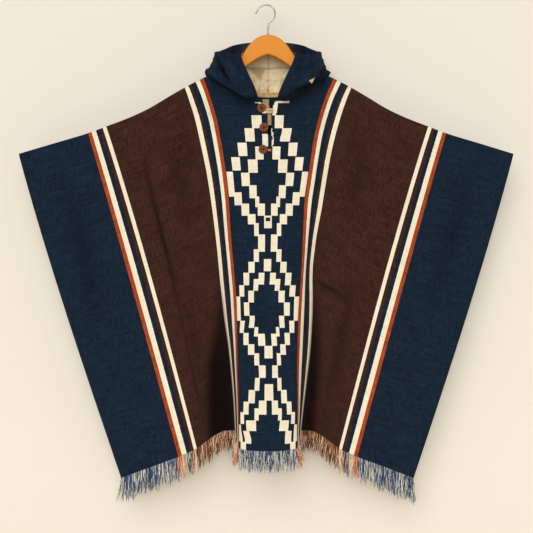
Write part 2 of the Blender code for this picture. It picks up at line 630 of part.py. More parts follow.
def poly_curve(name, points, radius, resolution, collection, look):
    """A round wire or cord through these points."""
    data = bpy.data.curves.new(name, "CURVE")
    data.dimensions = "3D"
    data.bevel_depth = radius
    data.bevel_resolution = resolution
    data.use_fill_caps = True
    spline = data.splines.new("POLY")
    spline.points.add(len(points) - 1)
    for knot, place in zip(spline.points, points):
        knot.co = (*place, 1.0)
    data.materials.append(look)
    made = bpy.data.objects.new(name, data)
    collection.objects.link(made)


def build_loop(name, row, collection, look):
    """A cord loop that leaves the right edge of the slit and reaches round behind its button."""
    button, height, reach, half_gap, radius = row
    start = BUTTONS[button][0] + BUTTON_RADIUS + LOOP_CLEARANCE
    end = start + reach - BUTTON_RADIUS
    y = float(front_surface(np.array([0.0]), np.array([height]))[0]) - radius - SEAM
    bend = [(start + half_gap * (1 - math.cos(a)), math.sin(a) * half_gap)
            for a in np.radians(LOOP_ANGLES)]
    upper, lower = (end, bend[0][1]), (end, bend[-1][1])
    path = [upper] + bend + [lower]
    points = [(x + MIDDLE_SHIFT, y, height + z) for x, z in path]
    poly_curve(name, points, radius, 1, collection, look)


def wood_outline():
    """The outline of the right half of the hanger, from its top round its end and back below."""
    upper_x = np.linspace(WOOD_UPPER[0, 0], WOOD_UPPER[-1, 0], WOOD_STEPS)
    lower_x = np.linspace(WOOD_LOWER[-1, 0], WOOD_LOWER[0, 0], WOOD_STEPS)
    upper = np.stack((upper_x, smooth(WOOD_UPPER[:, 0], WOOD_UPPER[:, 1], upper_x)), axis=-1)
    lower = np.stack((lower_x, smooth(WOOD_LOWER[:, 0], WOOD_LOWER[:, 1], lower_x)), axis=-1)
    middle = (upper[-1] + lower[0]) / 2
    arm = upper[-1] - middle
    turned = np.array((arm[1], -arm[0]))
    angles = np.linspace(0, math.pi, WOOD_END_POINTS + 2)[1:-1]
    end = [middle + arm * math.cos(a) + turned * math.sin(a) for a in angles]
    return np.concatenate((upper, end, lower))


def build_wood(collection, look):
    """The flat arch of the hanger, cut from a board and rounded along its edges."""
    right = wood_outline()
    left = right[1:-1][::-1] * (-1, 1)
    outline = np.concatenate((right, left))
    data = bpy.data.curves.new("hanger_wood", "CURVE")
    data.dimensions = "2D"
    data.fill_mode = "BOTH"
    data.extrude = WOOD_THICKNESS / 2 - WOOD_ROUND
    data.bevel_depth = WOOD_ROUND
    data.bevel_resolution = 1
    data.offset = -WOOD_ROUND
    spline = data.splines.new("POLY")
    spline.points.add(len(outline) - 1)
    for knot, (x, z) in zip(spline.points, outline):
        knot.co = (x + MIDDLE_SHIFT, z, 0.0, 1.0)
    spline.use_cyclic_u = True
    data.materials.append(look)
    wood = bpy.data.objects.new("hanger_wood", data)
    wood.rotation_euler = (math.radians(90), 0, 0)
    collection.objects.link(wood)


def build_hook(collection, look):
    """The wire hook: a straight shank, a round that opens to the left and a straight tip."""
    middle = np.array((0.0, -HOOK_RADIUS + HOOK_WIRE))
    angles = np.radians(np.linspace(HOOK_START, HOOK_END, HOOK_POINTS))
    bend = [middle + HOOK_RADIUS * np.array((math.cos(a), math.sin(a))) for a in angles]
    tip = bend[-1] + HOOK_TIP * np.array((-math.sin(angles[-1]), math.cos(angles[-1])))
    shank = list(SHANK + (MIDDLE_SHIFT, WOOD_UPPER[0, 1])) + [bend[0] + SHANK_TOP]
    points = [(x, 0.0, z) for x, z in shank + bend + [tip]]
    poly_curve("hanger_hook", points, HOOK_WIRE, 2, collection, look)


def main():
    for old in list(bpy.data.objects):
        bpy.data.objects.remove(old)
    parts = bpy.data.collections.new("andean_poncho")
    cutters = bpy.data.collections.new("cutters")
    for collection in (parts, cutters):
        bpy.context.scene.collection.children.link(collection)

    front_columns, back_columns = cloth_columns(*FRONT_STEPS), cloth_columns(*BACK_STEPS)
    front = build_cloth("front", True, front_columns, FRONT_ROWS, parts,
                        material("front_cloth", NAVY, 0.9))
    back = build_cloth("back", False, back_columns, BACK_ROWS, parts, material("back_cloth", NAVY, 0.9))
    necklines = {-1: [], 1: []}
    for halves, columns in ((front, front_columns), (back, back_columns)):
        inside = columns < PANEL + MERGE
        for side in necklines:
            necklines[side].append((columns[inside], halves[side][0][inside]))
    build_fringe("fringe_front", front, FRONT_STRANDS, True, parts, material("front_fringe", YARN, 0.9))
    build_fringe("fringe_back", back, BACK_STRANDS, False, parts, material("back_fringe", YARN, 0.9))
    build_hood("hood_left", -1, necklines[-1], parts, material("hood_left_cloth", NAVY, 0.9))
    build_hood("hood_right", 1, necklines[1], parts, material("hood_right_cloth", NAVY, 0.9))
    build_neck_tape(necklines[1], parts, material("tape", PALE, 0.85))
    build_facing(parts, material("facing", PALE, 0.85))
    for name, (x, z) in BUTTONS.items():
        build_button(name, x, z, parts, material(name, CARVED_WOOD, 0.5), cutters)
    for name, row in LOOPS.items():
        build_loop(name, row, parts, material(name, PALE, 0.8))
    build_wood(parts, material("wood", HONEY_WOOD, 0.45))
    build_hook(parts, material("steel", STEEL, 0.3, 1.0))


main()
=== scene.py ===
# %% [markdown]
# # A hooded poncho on a wooden hanger
#
# The poncho is one long woven cloth with a hole for the head. It hangs on a flat wooden hanger, so it
# is really two sheets that meet at the shoulder fold, with a hood sewn round the neck and a fringe
# along both hems. The frame below is the garment as it is built: it gives the place of every piece,
# and each surface here is worked out from the same sizes, only finer.

# %% Load the frame
import math

import bmesh
import bpy
import numpy as np
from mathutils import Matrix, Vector


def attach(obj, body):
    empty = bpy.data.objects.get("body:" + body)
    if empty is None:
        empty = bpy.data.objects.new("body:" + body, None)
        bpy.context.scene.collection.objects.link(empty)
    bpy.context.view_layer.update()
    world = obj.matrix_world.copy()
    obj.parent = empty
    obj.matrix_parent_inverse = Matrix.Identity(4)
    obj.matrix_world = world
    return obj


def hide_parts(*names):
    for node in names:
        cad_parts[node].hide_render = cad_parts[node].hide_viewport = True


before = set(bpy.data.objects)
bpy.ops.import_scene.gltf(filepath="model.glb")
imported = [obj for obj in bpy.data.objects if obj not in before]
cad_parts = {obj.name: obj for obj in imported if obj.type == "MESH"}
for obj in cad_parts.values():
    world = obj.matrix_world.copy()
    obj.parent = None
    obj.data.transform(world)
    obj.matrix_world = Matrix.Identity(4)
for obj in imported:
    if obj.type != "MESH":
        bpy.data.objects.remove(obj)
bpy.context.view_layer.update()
print("nodes:", ", ".join(sorted(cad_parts)))

# %% [markdown]
# ## Sizes of the cloth
#
# A weaver counts across the cloth from its centre line, so every stripe has a distance `s` from that
# line on the flat cloth. Each row of LINES says where one such line runs once the cloth hangs: where
# it leaves the shoulder fold, where it meets the hem, and how far it bows on the way. Everything
# between the rows is read from a smooth curve, which keeps a few numbers in charge of the whole form.

# %% Sizes of the cloth
WALL = 0.0022             # thickness of the weave
SEAM = 0.0003             # gap between pieces that touch
MIDDLE_SHIFT = 0.0050     # the garment hangs this far to the right of its hook
MERGE = 0.00001           # points nearer than this are one point

PANEL = 0.129
STRIPE_GROUP = 0.053
BROWN = 0.213
WING = 0.184
BROWN_START = PANEL + STRIPE_GROUP
BROWN_END = BROWN_START + BROWN
WING_START = BROWN_END + STRIPE_GROUP
CLOTH_EDGE = WING_START + WING

LINE_COLUMNS = ("cloth", "top_x", "top_z", "hem_x", "hem_z", "bow")
LINES = np.array([
    (PANEL,                       0.1549, -0.1805, 0.0727, -1.1240, -0.0315),
    (BROWN_START,                 0.2048, -0.2056, 0.0839, -1.0850, -0.0215),
    (BROWN_START + 0.25 * BROWN,  0.2542, -0.2340, 0.1080, -1.0862, -0.0180),
    (BROWN_START + 0.50 * BROWN,  0.3036, -0.2636, 0.1352, -1.0974, -0.0140),
    (BROWN_START + 0.75 * BROWN,  0.3556, -0.2880, 0.1563, -1.1107, -0.0100),
    (BROWN_END,                   0.4096, -0.3087, 0.1780, -1.1263, -0.0067),
    (WING_START,                  0.4564, -0.3264, 0.2249, -1.1485, -0.0018),
    (WING_START + 0.5 * WING,     0.5445, -0.3530, 0.2986, -1.1775, 0.0030),
    (CLOTH_EDGE,                  0.6326, -0.3796, 0.3724, -1.2065, 0.0082),
])
BOW_POWER = 0.8
PANEL_HEM_DROP = 0.0060   # how far the panel's hem sags in its middle
print(f"flat cloth: {2 * CLOTH_EDGE:.3f} m wide")


# %% How far the cloth stands out
def mm(rows):
    """A table in millimetres, as an array in metres."""
    return np.array(rows) / 1000


# How far each line stands out from the hanger's plane, at these fractions of its length: for the
# front (True) and the back (False), one row for the centre and then for each of LINES.
DEPTH_LEVELS = (0.0, 0.10, 0.30, 0.55, 0.80, 1.0)
DEPTH_LINES = np.concatenate(([0.0], LINES[:, 0]))
DEPTHS = {True: mm([
    (29, 32, 44, 64, 84, 94),        # centre
    (10.5, 22, 36, 54, 70, 80),      # panel edge
    (10.5, 17, 24, 27, 30, 32),      # brown start
    (10.5, 14, 19, 18, 17, 17),      # brown, first quarter
    (9.5, 12, 17, 20, 22, 24),       # brown, middle
    (8.5, 10.5, 16, 24, 34, 44),     # brown, last quarter
    (7.5, 9.5, 16, 27, 42, 55),      # brown end
    (7, 8.5, 15, 26, 40, 50),        # wing start
    (6.5, 7.5, 12, 19, 28, 34),      # wing, middle
    (6, 6.5, 9, 13, 18, 22),         # side edge
]), False: mm([
    (16, 18, 26, 38, 48, 54),
    (10.5, 16, 24, 34, 43, 48),
    (10.5, 14, 18, 20, 22, 24),
    (10.5, 13, 16, 17, 18, 18),
    (9.5, 12, 16, 18, 20, 22),
    (8.5, 10.5, 15, 21, 27, 33),
    (7.5, 9.5, 15, 23, 33, 41),
    (7, 8.5, 14, 22, 32, 38),
    (6.5, 7.5, 11, 16, 22, 26),
    (6, 6.5, 8, 10, 13, 15),
])}
DEPTH_AT_NECK = 0.0105
PANEL_POWER = 2.5         # how fast the depth changes from the panel's centre to its edge
NECK_ROUNDING = 30        # how squarely the neckline turns back at the shoulder
PANEL_ROUNDING = (0.1, 1.2)    # how far round a column the panel wraps, in radians, at its top and hem
# Heights of the necklines, at parts of the panel's half width.
NECKLINES = {True: np.array([(0.0, -0.2420), (0.26, -0.2450), (0.47, -0.2350), (0.64, -0.2194),
                             (0.91, -0.1907), (1.0, -0.1805)]),
             False: np.array([(0.0, -0.2340), (0.4, -0.2290), (0.7, -0.2120), (1.0, -0.1805)])}
# The open slit: height, then how far its left and right edges stand from the centre line.
SLIT = mm([(-372, 0, 0), (-342, 0, 0.6), (-332, 0.6, 5.6), (-318, 1, 8.5), (-278, 1.8, 8.5),
           (-262, 11, 10.5), (-242, 14.5, 12.5)])
FOLD_LIP = 0.0030         # the shoulder fold starts with a flat lip this deep
FOLD_DROP = 0.0080        # and rounds over while it falls this far
FOLD_FALL = 0.016         # the part of the fall that its rows take
NECK_CORNER = 0.0013
print("deepest point of the front:", DEPTHS[True].max(), "m ahead of the hanger's plane")


# %% Smooth curves through a few points
def limited(value):
    """A value held between 0 and 1."""
    return np.clip(value, 0.0, 1.0)


def smooth(knots, values, at):
    """Reads a curve through (knots, values) that never swings past its points.

    Between two knots it is a cubic whose slopes are weighted means of the rises on either side, or
    zero where the rise turns. Values with two axes hold a curve of its own for every point of at.
    """
    knots = np.asarray(knots, dtype=float)
    values = np.asarray(values, dtype=float)
    at = np.asarray(at, dtype=float)
    if values.ndim == 1:
        values = np.repeat(values[:, None], at.size, axis=1)
    gaps = np.diff(knots)[:, None]
    rise = np.diff(values, axis=0) / gaps
    before, after = rise[:-1], rise[1:]
    weight_before = 2 * gaps[1:] + gaps[:-1]
    weight_after = gaps[1:] + 2 * gaps[:-1]
    turns = before * after <= 0
    safe_before = np.where(turns, 1.0, before)
    safe_after = np.where(turns, 1.0, after)
    mean = (weight_before + weight_after) / (weight_before / safe_before + weight_after / safe_after)
    slope = np.concatenate((rise[:1], np.where(turns, 0.0, mean), rise[-1:]))
    flat = at.ravel()
    cell = np.clip(np.searchsorted(knots, flat, side="right") - 1, 0, len(knots) - 2)
    point = np.arange(flat.size)
    width = np.diff(knots)[cell]
    t = limited((flat - knots[cell]) / width)
    low, high = values[cell, point], values[cell + 1, point]
    slope_low, slope_high = slope[cell, point] * width, slope[cell + 1, point] * width
    curve = (low * (1 + 2 * t) * (1 - t) ** 2 + slope_low * t * (1 - t) ** 2
             + high * t * t * (3 - 2 * t) - slope_high * t * t * (1 - t))
    return curve.reshape(at.shape)


def read(table, column, at):
    """The smooth curve through one column of a table, against its first column."""
    return smooth(table[:, 0], table[:, column], at)


def through(points, count):
    """A smooth curve through some points, each coordinate read at even steps of their numbers."""
    at = np.linspace(0, len(points) - 1, count)
    return np.stack([smooth(np.arange(len(points)), axis, at) for axis in points.T], axis=-1)


def ease(amount):
    """Turns 0 to 1 into a soft step from 0 to 1."""
    amount = limited(amount)
    return amount * amount * (3 - 2 * amount)


def bell(value, middle, half_width):
    """A bell curve: 1 at its middle, and 1 / e at its half width."""
    return np.exp(-((value - middle) / half_width) ** 2)


print("a soft step a quarter of the way up:", ease(0.25))


# %% Where the cloth hangs
def line_value(column, cloth):
    """One column of LINES, read at a distance from the centre of the flat cloth."""
    return read(LINES, LINE_COLUMNS.index(column), cloth)


def line_x(cloth, fall):
    """x of a line after a fraction of its way down: a straight run plus a bow shaped like a sine."""
    top, hem = line_value("top_x", cloth), line_value("hem_x", cloth)
    return top + (hem - top) * fall + line_value("bow", cloth) * np.sin(math.pi * fall ** BOW_POWER)


def panel_fall(z):
    """How far a height lies between the top and the hem of the panel's edge, from 0 to 1."""
    return limited((z - LINES[0, 2]) / (LINES[0, 4] - LINES[0, 2]))


def cloth_depth(front, cloth, fall):
    """How far the outer face of the front or the back stands out from the hanger's plane."""
    per_line = np.array([smooth(DEPTH_LEVELS, row, fall).ravel() for row in DEPTHS[front]])
    rounded = np.where(cloth < PANEL, PANEL * (cloth / PANEL) ** PANEL_POWER, cloth)
    return smooth(DEPTH_LINES, per_line, rounded.ravel()).reshape(cloth.shape)


def shift_middle(x):
    """Slides the middle of the garment sideways, and leaves its side edges in place."""
    return x + MIDDLE_SHIFT * (1 - (x / LINES[-1, 1]) ** 2)


def placed(points, side):
    """Turns points of a right half into those of either half, where they hang."""
    return np.stack((shift_middle(side * points[..., 0]), points[..., 1], points[..., 2]), axis=-1)


print("panel at its hem:", round(2 * float(line_x(np.array(PANEL), np.array(1.0))), 3), "m wide")

# %% [markdown]
# ## From a grid of points to a mesh
#
# All the cloth is made as surfaces of two parameters: numpy works out a whole grid of points at once
# and Blender gets them with foreach_set, which is far quicker than adding vertices one by one. A UV
# map and attributes carry what the materials need to know, such as which thread a point lies on.

# %% Measures of a grid
def grid_quads(grid, first=0):
    """The quads between neighbouring points of a grid, whose points are numbered from first."""
    numbers = np.arange(first, first + grid[..., 0].size).reshape(grid.shape[:2])
    quads = np.stack((numbers[:-1, :-1], numbers[:-1, 1:], numbers[1:, 1:], numbers[1:, :-1]), axis=-1)
    return quads.reshape(-1, 4)


def run_along(points, axis=0):
    """Length from the first point to each point, measured along one direction of a grid or a line."""
    steps = np.linalg.norm(np.diff(points, axis=axis), axis=-1)
    nothing = np.zeros_like(np.take(steps, [0], axis=axis))
    return np.concatenate((nothing, np.cumsum(steps, axis=axis)), axis=axis)


def grid_uv(grid, rows=None):
    """UVs in metres: along a grid's own rows, or along its first ones, and down its columns."""
    down = run_along(grid)
    return np.stack((np.broadcast_to(run_along(grid[:rows], 1), down.shape), down), axis=-1)


print("quads of a grid of 3 by 4 points:", len(grid_quads(np.zeros((3, 4, 3)))))


# %% Make and finish a piece
def new_piece(name, points, quads, uv=None, on_points=None, on_faces=None, smooth_shaded=True):
    """Makes an object at the origin from points, quads, a UV for each point and named numbers."""
    points = np.asarray(points, dtype=np.float32).reshape(-1, 3)
    mesh = bpy.data.meshes.new(name)
    mesh.vertices.add(len(points))
    mesh.vertices.foreach_set("co", points.ravel())
    mesh.loops.add(quads.size)
    mesh.loops.foreach_set("vertex_index", quads.ravel().astype(np.int32))
    mesh.polygons.add(len(quads))
    mesh.polygons.foreach_set("loop_start", np.arange(0, quads.size, 4, dtype=np.int32))
    mesh.polygons.foreach_set("use_smooth", np.full(len(quads), smooth_shaded))
    mesh.update(calc_edges=True)
    if uv is not None:
        on_loops = np.asarray(uv, dtype=np.float32).reshape(-1, 2)[quads.ravel()]
        mesh.uv_layers.new(name="threads").data.foreach_set("uv", on_loops.ravel())
    for domain, numbers in (("POINT", on_points), ("FACE", on_faces)):
        for key, values in (numbers or {}).items():
            made = mesh.attributes.new(key, "FLOAT", domain)
            made.data.foreach_set("value", np.asarray(values, dtype=np.float32).ravel())
    piece = bpy.data.objects.new(name, mesh)
    bpy.context.scene.collection.objects.link(piece)
    return piece


def close_up(piece, near, outwards):
    """Merges points that coincide, and turns all faces as the one nearest to a place should face."""
    mesh = bmesh.new()
    mesh.from_mesh(piece.data)
    bmesh.ops.remove_doubles(mesh, verts=mesh.verts, dist=MERGE)
    bmesh.ops.dissolve_degenerate(mesh, edges=mesh.edges, dist=MERGE)
    bmesh.ops.recalc_face_normals(mesh, faces=mesh.faces)
    mesh.to_mesh(piece.data)
    faces = piece.data.polygons
    centres, normals = (np.empty((len(faces), 3), dtype=np.float32) for _ in range(2))
    faces.foreach_get("center", centres.ravel())
    faces.foreach_get("normal", normals.ravel())
    nearest = np.argmin(np.sum((centres - near) ** 2, axis=1))
    if np.dot(normals[nearest], outwards) < 0:
        bmesh.ops.reverse_faces(mesh, faces=mesh.faces)
        mesh.to_mesh(piece.data)
    mesh.free()


def thicken(piece, wall, inside_material=0, even=True):
    """Gives an open surface a wall, which grows inwards from its outer face."""
    shell = piece.modifiers.new("wall", "SOLIDIFY")
    shell.thickness = wall
    shell.offset = -1.0
    shell.use_even_offset = even
    shell.material_offset = inside_material


def dress(pieces, *looks):
    """Gives each of some pieces its materials, outer face first."""
    for piece in pieces:
        for look in looks:
            piece.data.materials.append(look)


def report(piece):
    """Prints how many triangles a piece shows once its modifiers are applied, and returns it."""
    evaluated = piece.evaluated_get(bpy.context.evaluated_depsgraph_get())
    mesh = evaluated.to_mesh()
    mesh.calc_loop_triangles()
    print(f"{piece.name}: {len(mesh.loop_triangles)} triangles")
    evaluated.to_mesh_clear()
    return piece


print("points nearer than", MERGE, "m are merged")

# %% [markdown]
# ## Creases
#
# Wool this thick falls in broad soft waves, and keeps a few long creases from where it was folded or
# where it hangs from the shoulder. Each crease here is a row: a line from one place to another with a
# bow, how wide it is and how deep. Its profile is a bell curve across the line that fades at both
# ends, so it never makes a hard edge.

# %% Creases
# For the front (True) and the back (False), in millimetres: from x, z to x, z; how far the middle
# bows to the right; half width; height of the ridge, or depth of the trough below zero.
CREASES = {True: mm([
    (-314, -372, -205, -780, -8, 8, -3),
    (-296, -372, -188, -780, -8, 11, 2.2),
    (-205, -760, -172, -930, 4, 10, -2),
    (-250, -300, -236, -430, 0, 12, 1.6),
    (-226, -250, -176, -420, -6, 9, -1.8),
    (-150, -215, -126, -330, -4, 7, -2),
    (-118, -205, -112, -300, 3, 8, 1.8),
    (236, -260, 196, -430, 6, 10, -1.8),
    (150, -215, 134, -330, 4, 7, -1.8),
    (124, -205, 120, -300, -3, 8, 1.8),
    (116, -698, 215, -754, 0, 7, -3.4),
    (110, -722, 205, -776, 0, 8, 2.2),
    (306, -420, 232, -800, 10, 16, 2.2),
    (214, -700, 150, -1020, 8, 14, -2.6),
    (-400, -480, -330, -900, -10, 20, 2),
    (-520, -440, -430, -860, 12, 26, -2.4),
    (520, -440, 420, -900, -14, 26, -2.4),
    (462, -640, 372, -1080, 10, 20, 2.2),
]), False: mm([
    (-280, -330, -190, -820, -10, 14, -2.6),
    (-150, -230, -110, -460, -6, 10, 2),
    (150, -230, 104, -500, 6, 10, 2),
    (330, -420, 220, -900, 12, 15, -2.6),
    (40, -300, 26, -640, 8, 12, -2.2),
    (-30, -420, -44, -900, -6, 14, -2.2),
    (500, -460, 400, -960, -12, 24, -2.4),
    (-500, -460, -410, -930, 12, 24, -2.4),
])}
CREASE_ENDS = 0.6         # how abruptly a crease ends: 0 at once, 1 like a sine
# Broad waves: how many cross the cloth's width, how many run down it, where they start and how high.
WAVES = np.array([(3.0, 1.0, 0.4, 0.0016), (5.0, -2.0, 1.7, 0.0011), (9.0, 3.0, 2.9, 0.0007),
                  (15.0, 4.0, 4.1, 0.0004)])


def crease_relief(creases, x, z):
    """Height of all creases at a place: bell curves across their lines, faded in and out along them."""
    height = np.zeros_like(x)
    for start_x, start_z, end_x, end_z, bow, half_width, top in creases:
        run_x, run_z = end_x - start_x, end_z - start_z
        length = math.hypot(run_x, run_z)
        along = ((x - start_x) * run_x + (z - start_z) * run_z) / length ** 2
        beside = ((z - start_z) * run_x - (x - start_x) * run_z) / length
        swing = np.sin(math.pi * limited(along))
        height += top * swing ** CREASE_ENDS * bell(beside, bow * swing, half_width)
    return height


def wave_relief(cloth, fall, start):
    """Height of the broad waves: a sum of sines that run across and down the cloth."""
    height = np.zeros_like(cloth)
    for across, down, phase, top in WAVES:
        height += top * np.sin(math.pi * (across * cloth / CLOTH_EDGE + down * fall) + phase + start)
    return height


print(len(CREASES[True]), "creases on the front,", len(CREASES[False]), "on the back")

# %% [markdown]
# ## The stepped diamonds
#
# The figure is woven in blocks that climb like stairs, an old Andean way of drawing a diamond on a
# loom. It repeats down the panel: an outer row of blocks makes a tall zigzag, and an inner row makes
# diamonds inside it. The chart lists each block once: how far from the centre it starts and ends, as
# parts of the panel's half width, and how far below the hook, in millimetres. Every block has a twin
# on the other side. The mesh gets a row of its own at each level of the chart, so that the blocks are
# whole squares of the mesh: one number on each face says whether it is figure or ground, and no edge
# is ever blurred.

# %% The chart of the figure
OUTER_BLOCKS = np.array([
    (0.135, 0.320, 281, 314), (0.290, 0.493, 315, 348),
    (0.469, 0.673, 351, 385), (0.658, 0.847, 388, 422), (0.848, 1.000, 425, 489),
    (0.667, 0.870, 478, 511), (0.495, 0.690, 507, 538), (0.328, 0.528, 534, 560),
    (0.259, 0.384, 557, 590), (0.090, 0.284, 586, 630),
    (0.255, 0.405, 624, 657), (0.390, 0.570, 656, 686), (0.555, 0.730, 685, 716),
    (0.720, 0.880, 716, 745), (0.870, 1.000, 745, 807), (0.720, 0.880, 807, 838),
    (0.560, 0.735, 838, 869), (0.385, 0.570, 867, 894), (0.260, 0.400, 890, 922),
    (0.090, 0.270, 921, 953), (0.260, 0.400, 953, 986), (0.385, 0.575, 984, 1018),
    (0.570, 0.740, 1014, 1047), (0.730, 0.880, 1041, 1071), (0.870, 1.000, 1073, 1116),
])
INNER_BLOCKS = np.array([
    (0.100, 0.287, 361, 395), (0.255, 0.460, 394, 429),
    (0.445, 0.650, 428, 462), (0.280, 0.480, 460, 493), (0.220, 0.325, 489, 516),
    (0.080, 0.262, 507, 539), (-0.110, 0.110, 538, 570),
    (-0.105, 0.105, 649, 680), (0.090, 0.270, 684, 714), (0.260, 0.400, 700, 731),
    (0.385, 0.570, 730, 761), (0.565, 0.735, 760, 795), (0.390, 0.575, 794, 825),
    (0.260, 0.390, 823, 847), (0.090, 0.275, 840, 872), (-0.115, 0.115, 871, 903),
    (-0.115, 0.115, 969, 1012), (0.085, 0.275, 1011, 1048), (0.260, 0.390, 1031, 1063),
    (0.355, 0.650, 1062, 1090), (0.580, 0.800, 1089, 1122), (0.770, 0.950, 1119, 1139),
])
GAP_BLOCK = (-0.065, 0.065, 541, 554)   # a navy block inside the first diamond's foot
# The topmost steps differ from side to side, because the slit and the neckline cut through them.
ONE_SIDED_BLOCKS = {
    1: [(0.200, 0.390, 237, 249)],
    -1: [(0.130, 0.240, 247, 252), (0.060, 0.150, 250, 278), (0.010, 0.125, 327, 359)],
}
# Slanted strokes beside the slit, on the viewer's right: heights in millimetres, then where the
# stroke starts and ends at each.
STROKES = (((239, 255, 280), (0.150, 0.105, 0.080), (0.225, 0.180, 0.158)),
           ((316, 337, 359), (0.052, 0.100, 0.080), (0.078, 0.124, 0.110)))
EYE_DISTANCE = 4.0        # the chart is drawn as someone sees it from here
EYE_HEIGHT = -0.668
print(2 * (len(OUTER_BLOCKS) + len(INNER_BLOCKS)), "blocks in the chart")

# %% [markdown]
# ## The front and the back
#
# The centre panel stands forward in a soft box fold, because the neck gathers the cloth there, and
# the wings hang almost flat. Each half is a grid: `s` runs across the flat cloth and `fall` runs from
# the shoulder fold to the hem. The two halves share their centre line below the slit, so they become
# one sheet, and a Solidify modifier gives it the thickness of the weave.

# %% Small departures from straight lines
# Long pressed folds that follow a thread. Side, distance from the centre line, fractions of the fall
# where it starts and ends, half width and depth.
PRESSED = np.array([(-1, BROWN_START + 0.73 * BROWN, 0.12, 0.99, 0.0030, 0.0026),
                    (1, BROWN_START + 0.70 * BROWN, 0.16, 0.60, 0.0040, 0.0012)])
PRESSED_COLUMNS = mm((-9, -4.5, -2, 0, 2, 4.5, 9))    # columns beside the first of them
PRESSED_ENDS = 0.4        # how abruptly they end: 0 at once, 1 like a sine
# The inner stripes don't run quite straight: height, and how far they stray to the viewer's right.
STRAYS = {1: mm([(-250, 0), (-360, -4.5), (-500, -4), (-610, -7.8), (-660, -7.6), (-700, -4.5),
                 (-755, 1.8), (-810, 6), (-880, 7.8), (-950, 5.5), (-1020, 2.5), (-1080, 0)]),
          -1: mm([(-450, 0), (-600, -2.4), (-720, -4.8), (-800, -4), (-880, 0), (-1000, 1.6),
                  (-1080, 0)])}
STRAY_REACH = 0.075       # it fades out this far towards the side
# So do the panel's edges, and its middle, which leans one way and then the other.
EDGE_STRAYS = {1: mm([(-220, 0), (-340, -3.8), (-440, -3.4), (-500, -5), (-550, -2.6), (-600, 0),
                      (-660, 1.5), (-750, 0), (-820, -1.2), (-900, -1.8), (-1020, 0)]),
               -1: mm([(-420, 0), (-500, -1.6), (-550, -3.8), (-600, -4.8), (-660, -3.6),
                       (-750, -1.5), (-900, -1.8), (-1020, 0)])}
MIDDLE_STRAYS = mm([(-600, 0), (-690, -2), (-745, -5.2), (-790, -3.6), (-830, 0), (-870, 2.6),
                    (-960, 3), (-1030, 3.6), (-1090, 0)])
# And so does the middle of each half, between the panel's centre line and its edge.
HALF_STRAYS = {1: mm([(-870, 0), (-920, 2), (-1000, 2.5), (-1040, 3.5), (-1080, 1.5), (-1100, 0)]),
               -1: mm([(-800, 0), (-850, -8), (-900, -8.5), (-940, -6), (-980, -8.5), (-1030, -10.5),
                       (-1070, -8), (-1100, 0)])}
# Near the shoulder the cloth is stretched, and its inner stripes lie further out: height and how
# far, for the stripes next to the panel and then for those next to the brown, and which cloth moves.
DRIFTS = {-1: (mm([(-180, 10.5), (-240, 4.4), (-300, 0)]),
               mm([(-180, 14), (-240, 6.9), (-300, 2.2), (-360, 1.4), (-420, 0)])),
          1: (mm([(-180, 13), (-206, 9.5), (-227, 6.2), (-247, 4), (-268, 2.3), (-330, 0)]),
              mm([(-180, 16.5), (-216, 10.8), (-237, 6.6), (-257, 4.2), (-280, 2.9), (-344, 1.4),
                  (-385, 0)]))}
DRIFT_WINDOWS = (((0.100, 0.128, 0.150, 0.170), (0, 1, 1, 0)),
                 ((0.150, 0.170, 0.185, 0.215), (0, 1, 1, 0)))


def stray_at(table, z):
    """How far a line strays to the viewer's right at a height, from a table of both."""
    return smooth(-table[:, 0], table[:, 1], np.clip(-z, *-table[[0, -1], 0]))


for side, table in STRAYS.items():
    print("side", side, "inner stripes stray by up to", round(float(np.abs(table[:, 1]).max()), 4), "m")


# %% Columns and rows
FOLD_ROWS = 9
# Steps of the columns, for the front and the back: panel, stripes, brown, stripes and wing.
COLUMN_STOPS = (0.0, PANEL, BROWN_START, BROWN_END, WING_START, CLOTH_EDGE)
COLUMN_STEPS = {True: (50, 6, 20, 6, 12), False: (26, 5, 16, 5, 9)}
COLUMN_ROOM = 0.004       # even columns keep this far from those of a pressed fold
ROW_STEP = {True: 0.0053, False: 0.0090}     # the tallest that a row may be
SAME_LEVEL = 0.0016       # levels of the chart that are nearer than this share a row
LEVEL_FROM = -0.252       # rows of the panel run level below this height


def cloth_columns(front):
    """Distances from the centre line: even steps in each stretch, and more at the pressed folds."""
    stretches = zip(COLUMN_STOPS, COLUMN_STOPS[1:], COLUMN_STEPS[front])
    even = np.concatenate([np.linspace(start, stop, count, endpoint=False)
                           for start, stop, count in stretches] + [[CLOTH_EDGE]])
    if not front:
        return even
    extra = PRESSED[0, 1] + PRESSED_COLUMNS
    away = np.abs(even[:, None] - extra).min(axis=1) > COLUMN_ROOM
    return np.sort(np.concatenate((even[away], extra)))


def row_falls(front):
    """Fractions of the fall: rows for the shoulder fold, then one on each level of the chart."""
    top, hem = LINES[0, 2], LINES[0, 4]
    levels = np.unique(-np.concatenate((OUTER_BLOCKS, INNER_BLOCKS))[:, 2:] / 1000)
    depth = cloth_depth(front, np.full(len(levels), PANEL / 2), panel_fall(levels))
    heights = EYE_HEIGHT + (levels - EYE_HEIGHT) * (EYE_DISTANCE - depth) / EYE_DISTANCE
    heights = np.sort(heights[(heights < LEVEL_FROM) & (heights > hem + SAME_LEVEL)])[::-1]
    heights = heights[-np.diff(heights, prepend=top) > SAME_LEVEL]
    stops = np.concatenate(([FOLD_FALL], (heights - top) / (hem - top), [1.0]))
    counts = np.ceil(np.diff(stops) * (top - hem) / ROW_STEP[front]).astype(int)
    rows = [np.linspace(start, stop, count + 1)[1:]
            for start, stop, count in zip(stops, stops[1:], counts)]
    return np.concatenate([np.linspace(0.0, FOLD_FALL, FOLD_ROWS + 2)] + rows)


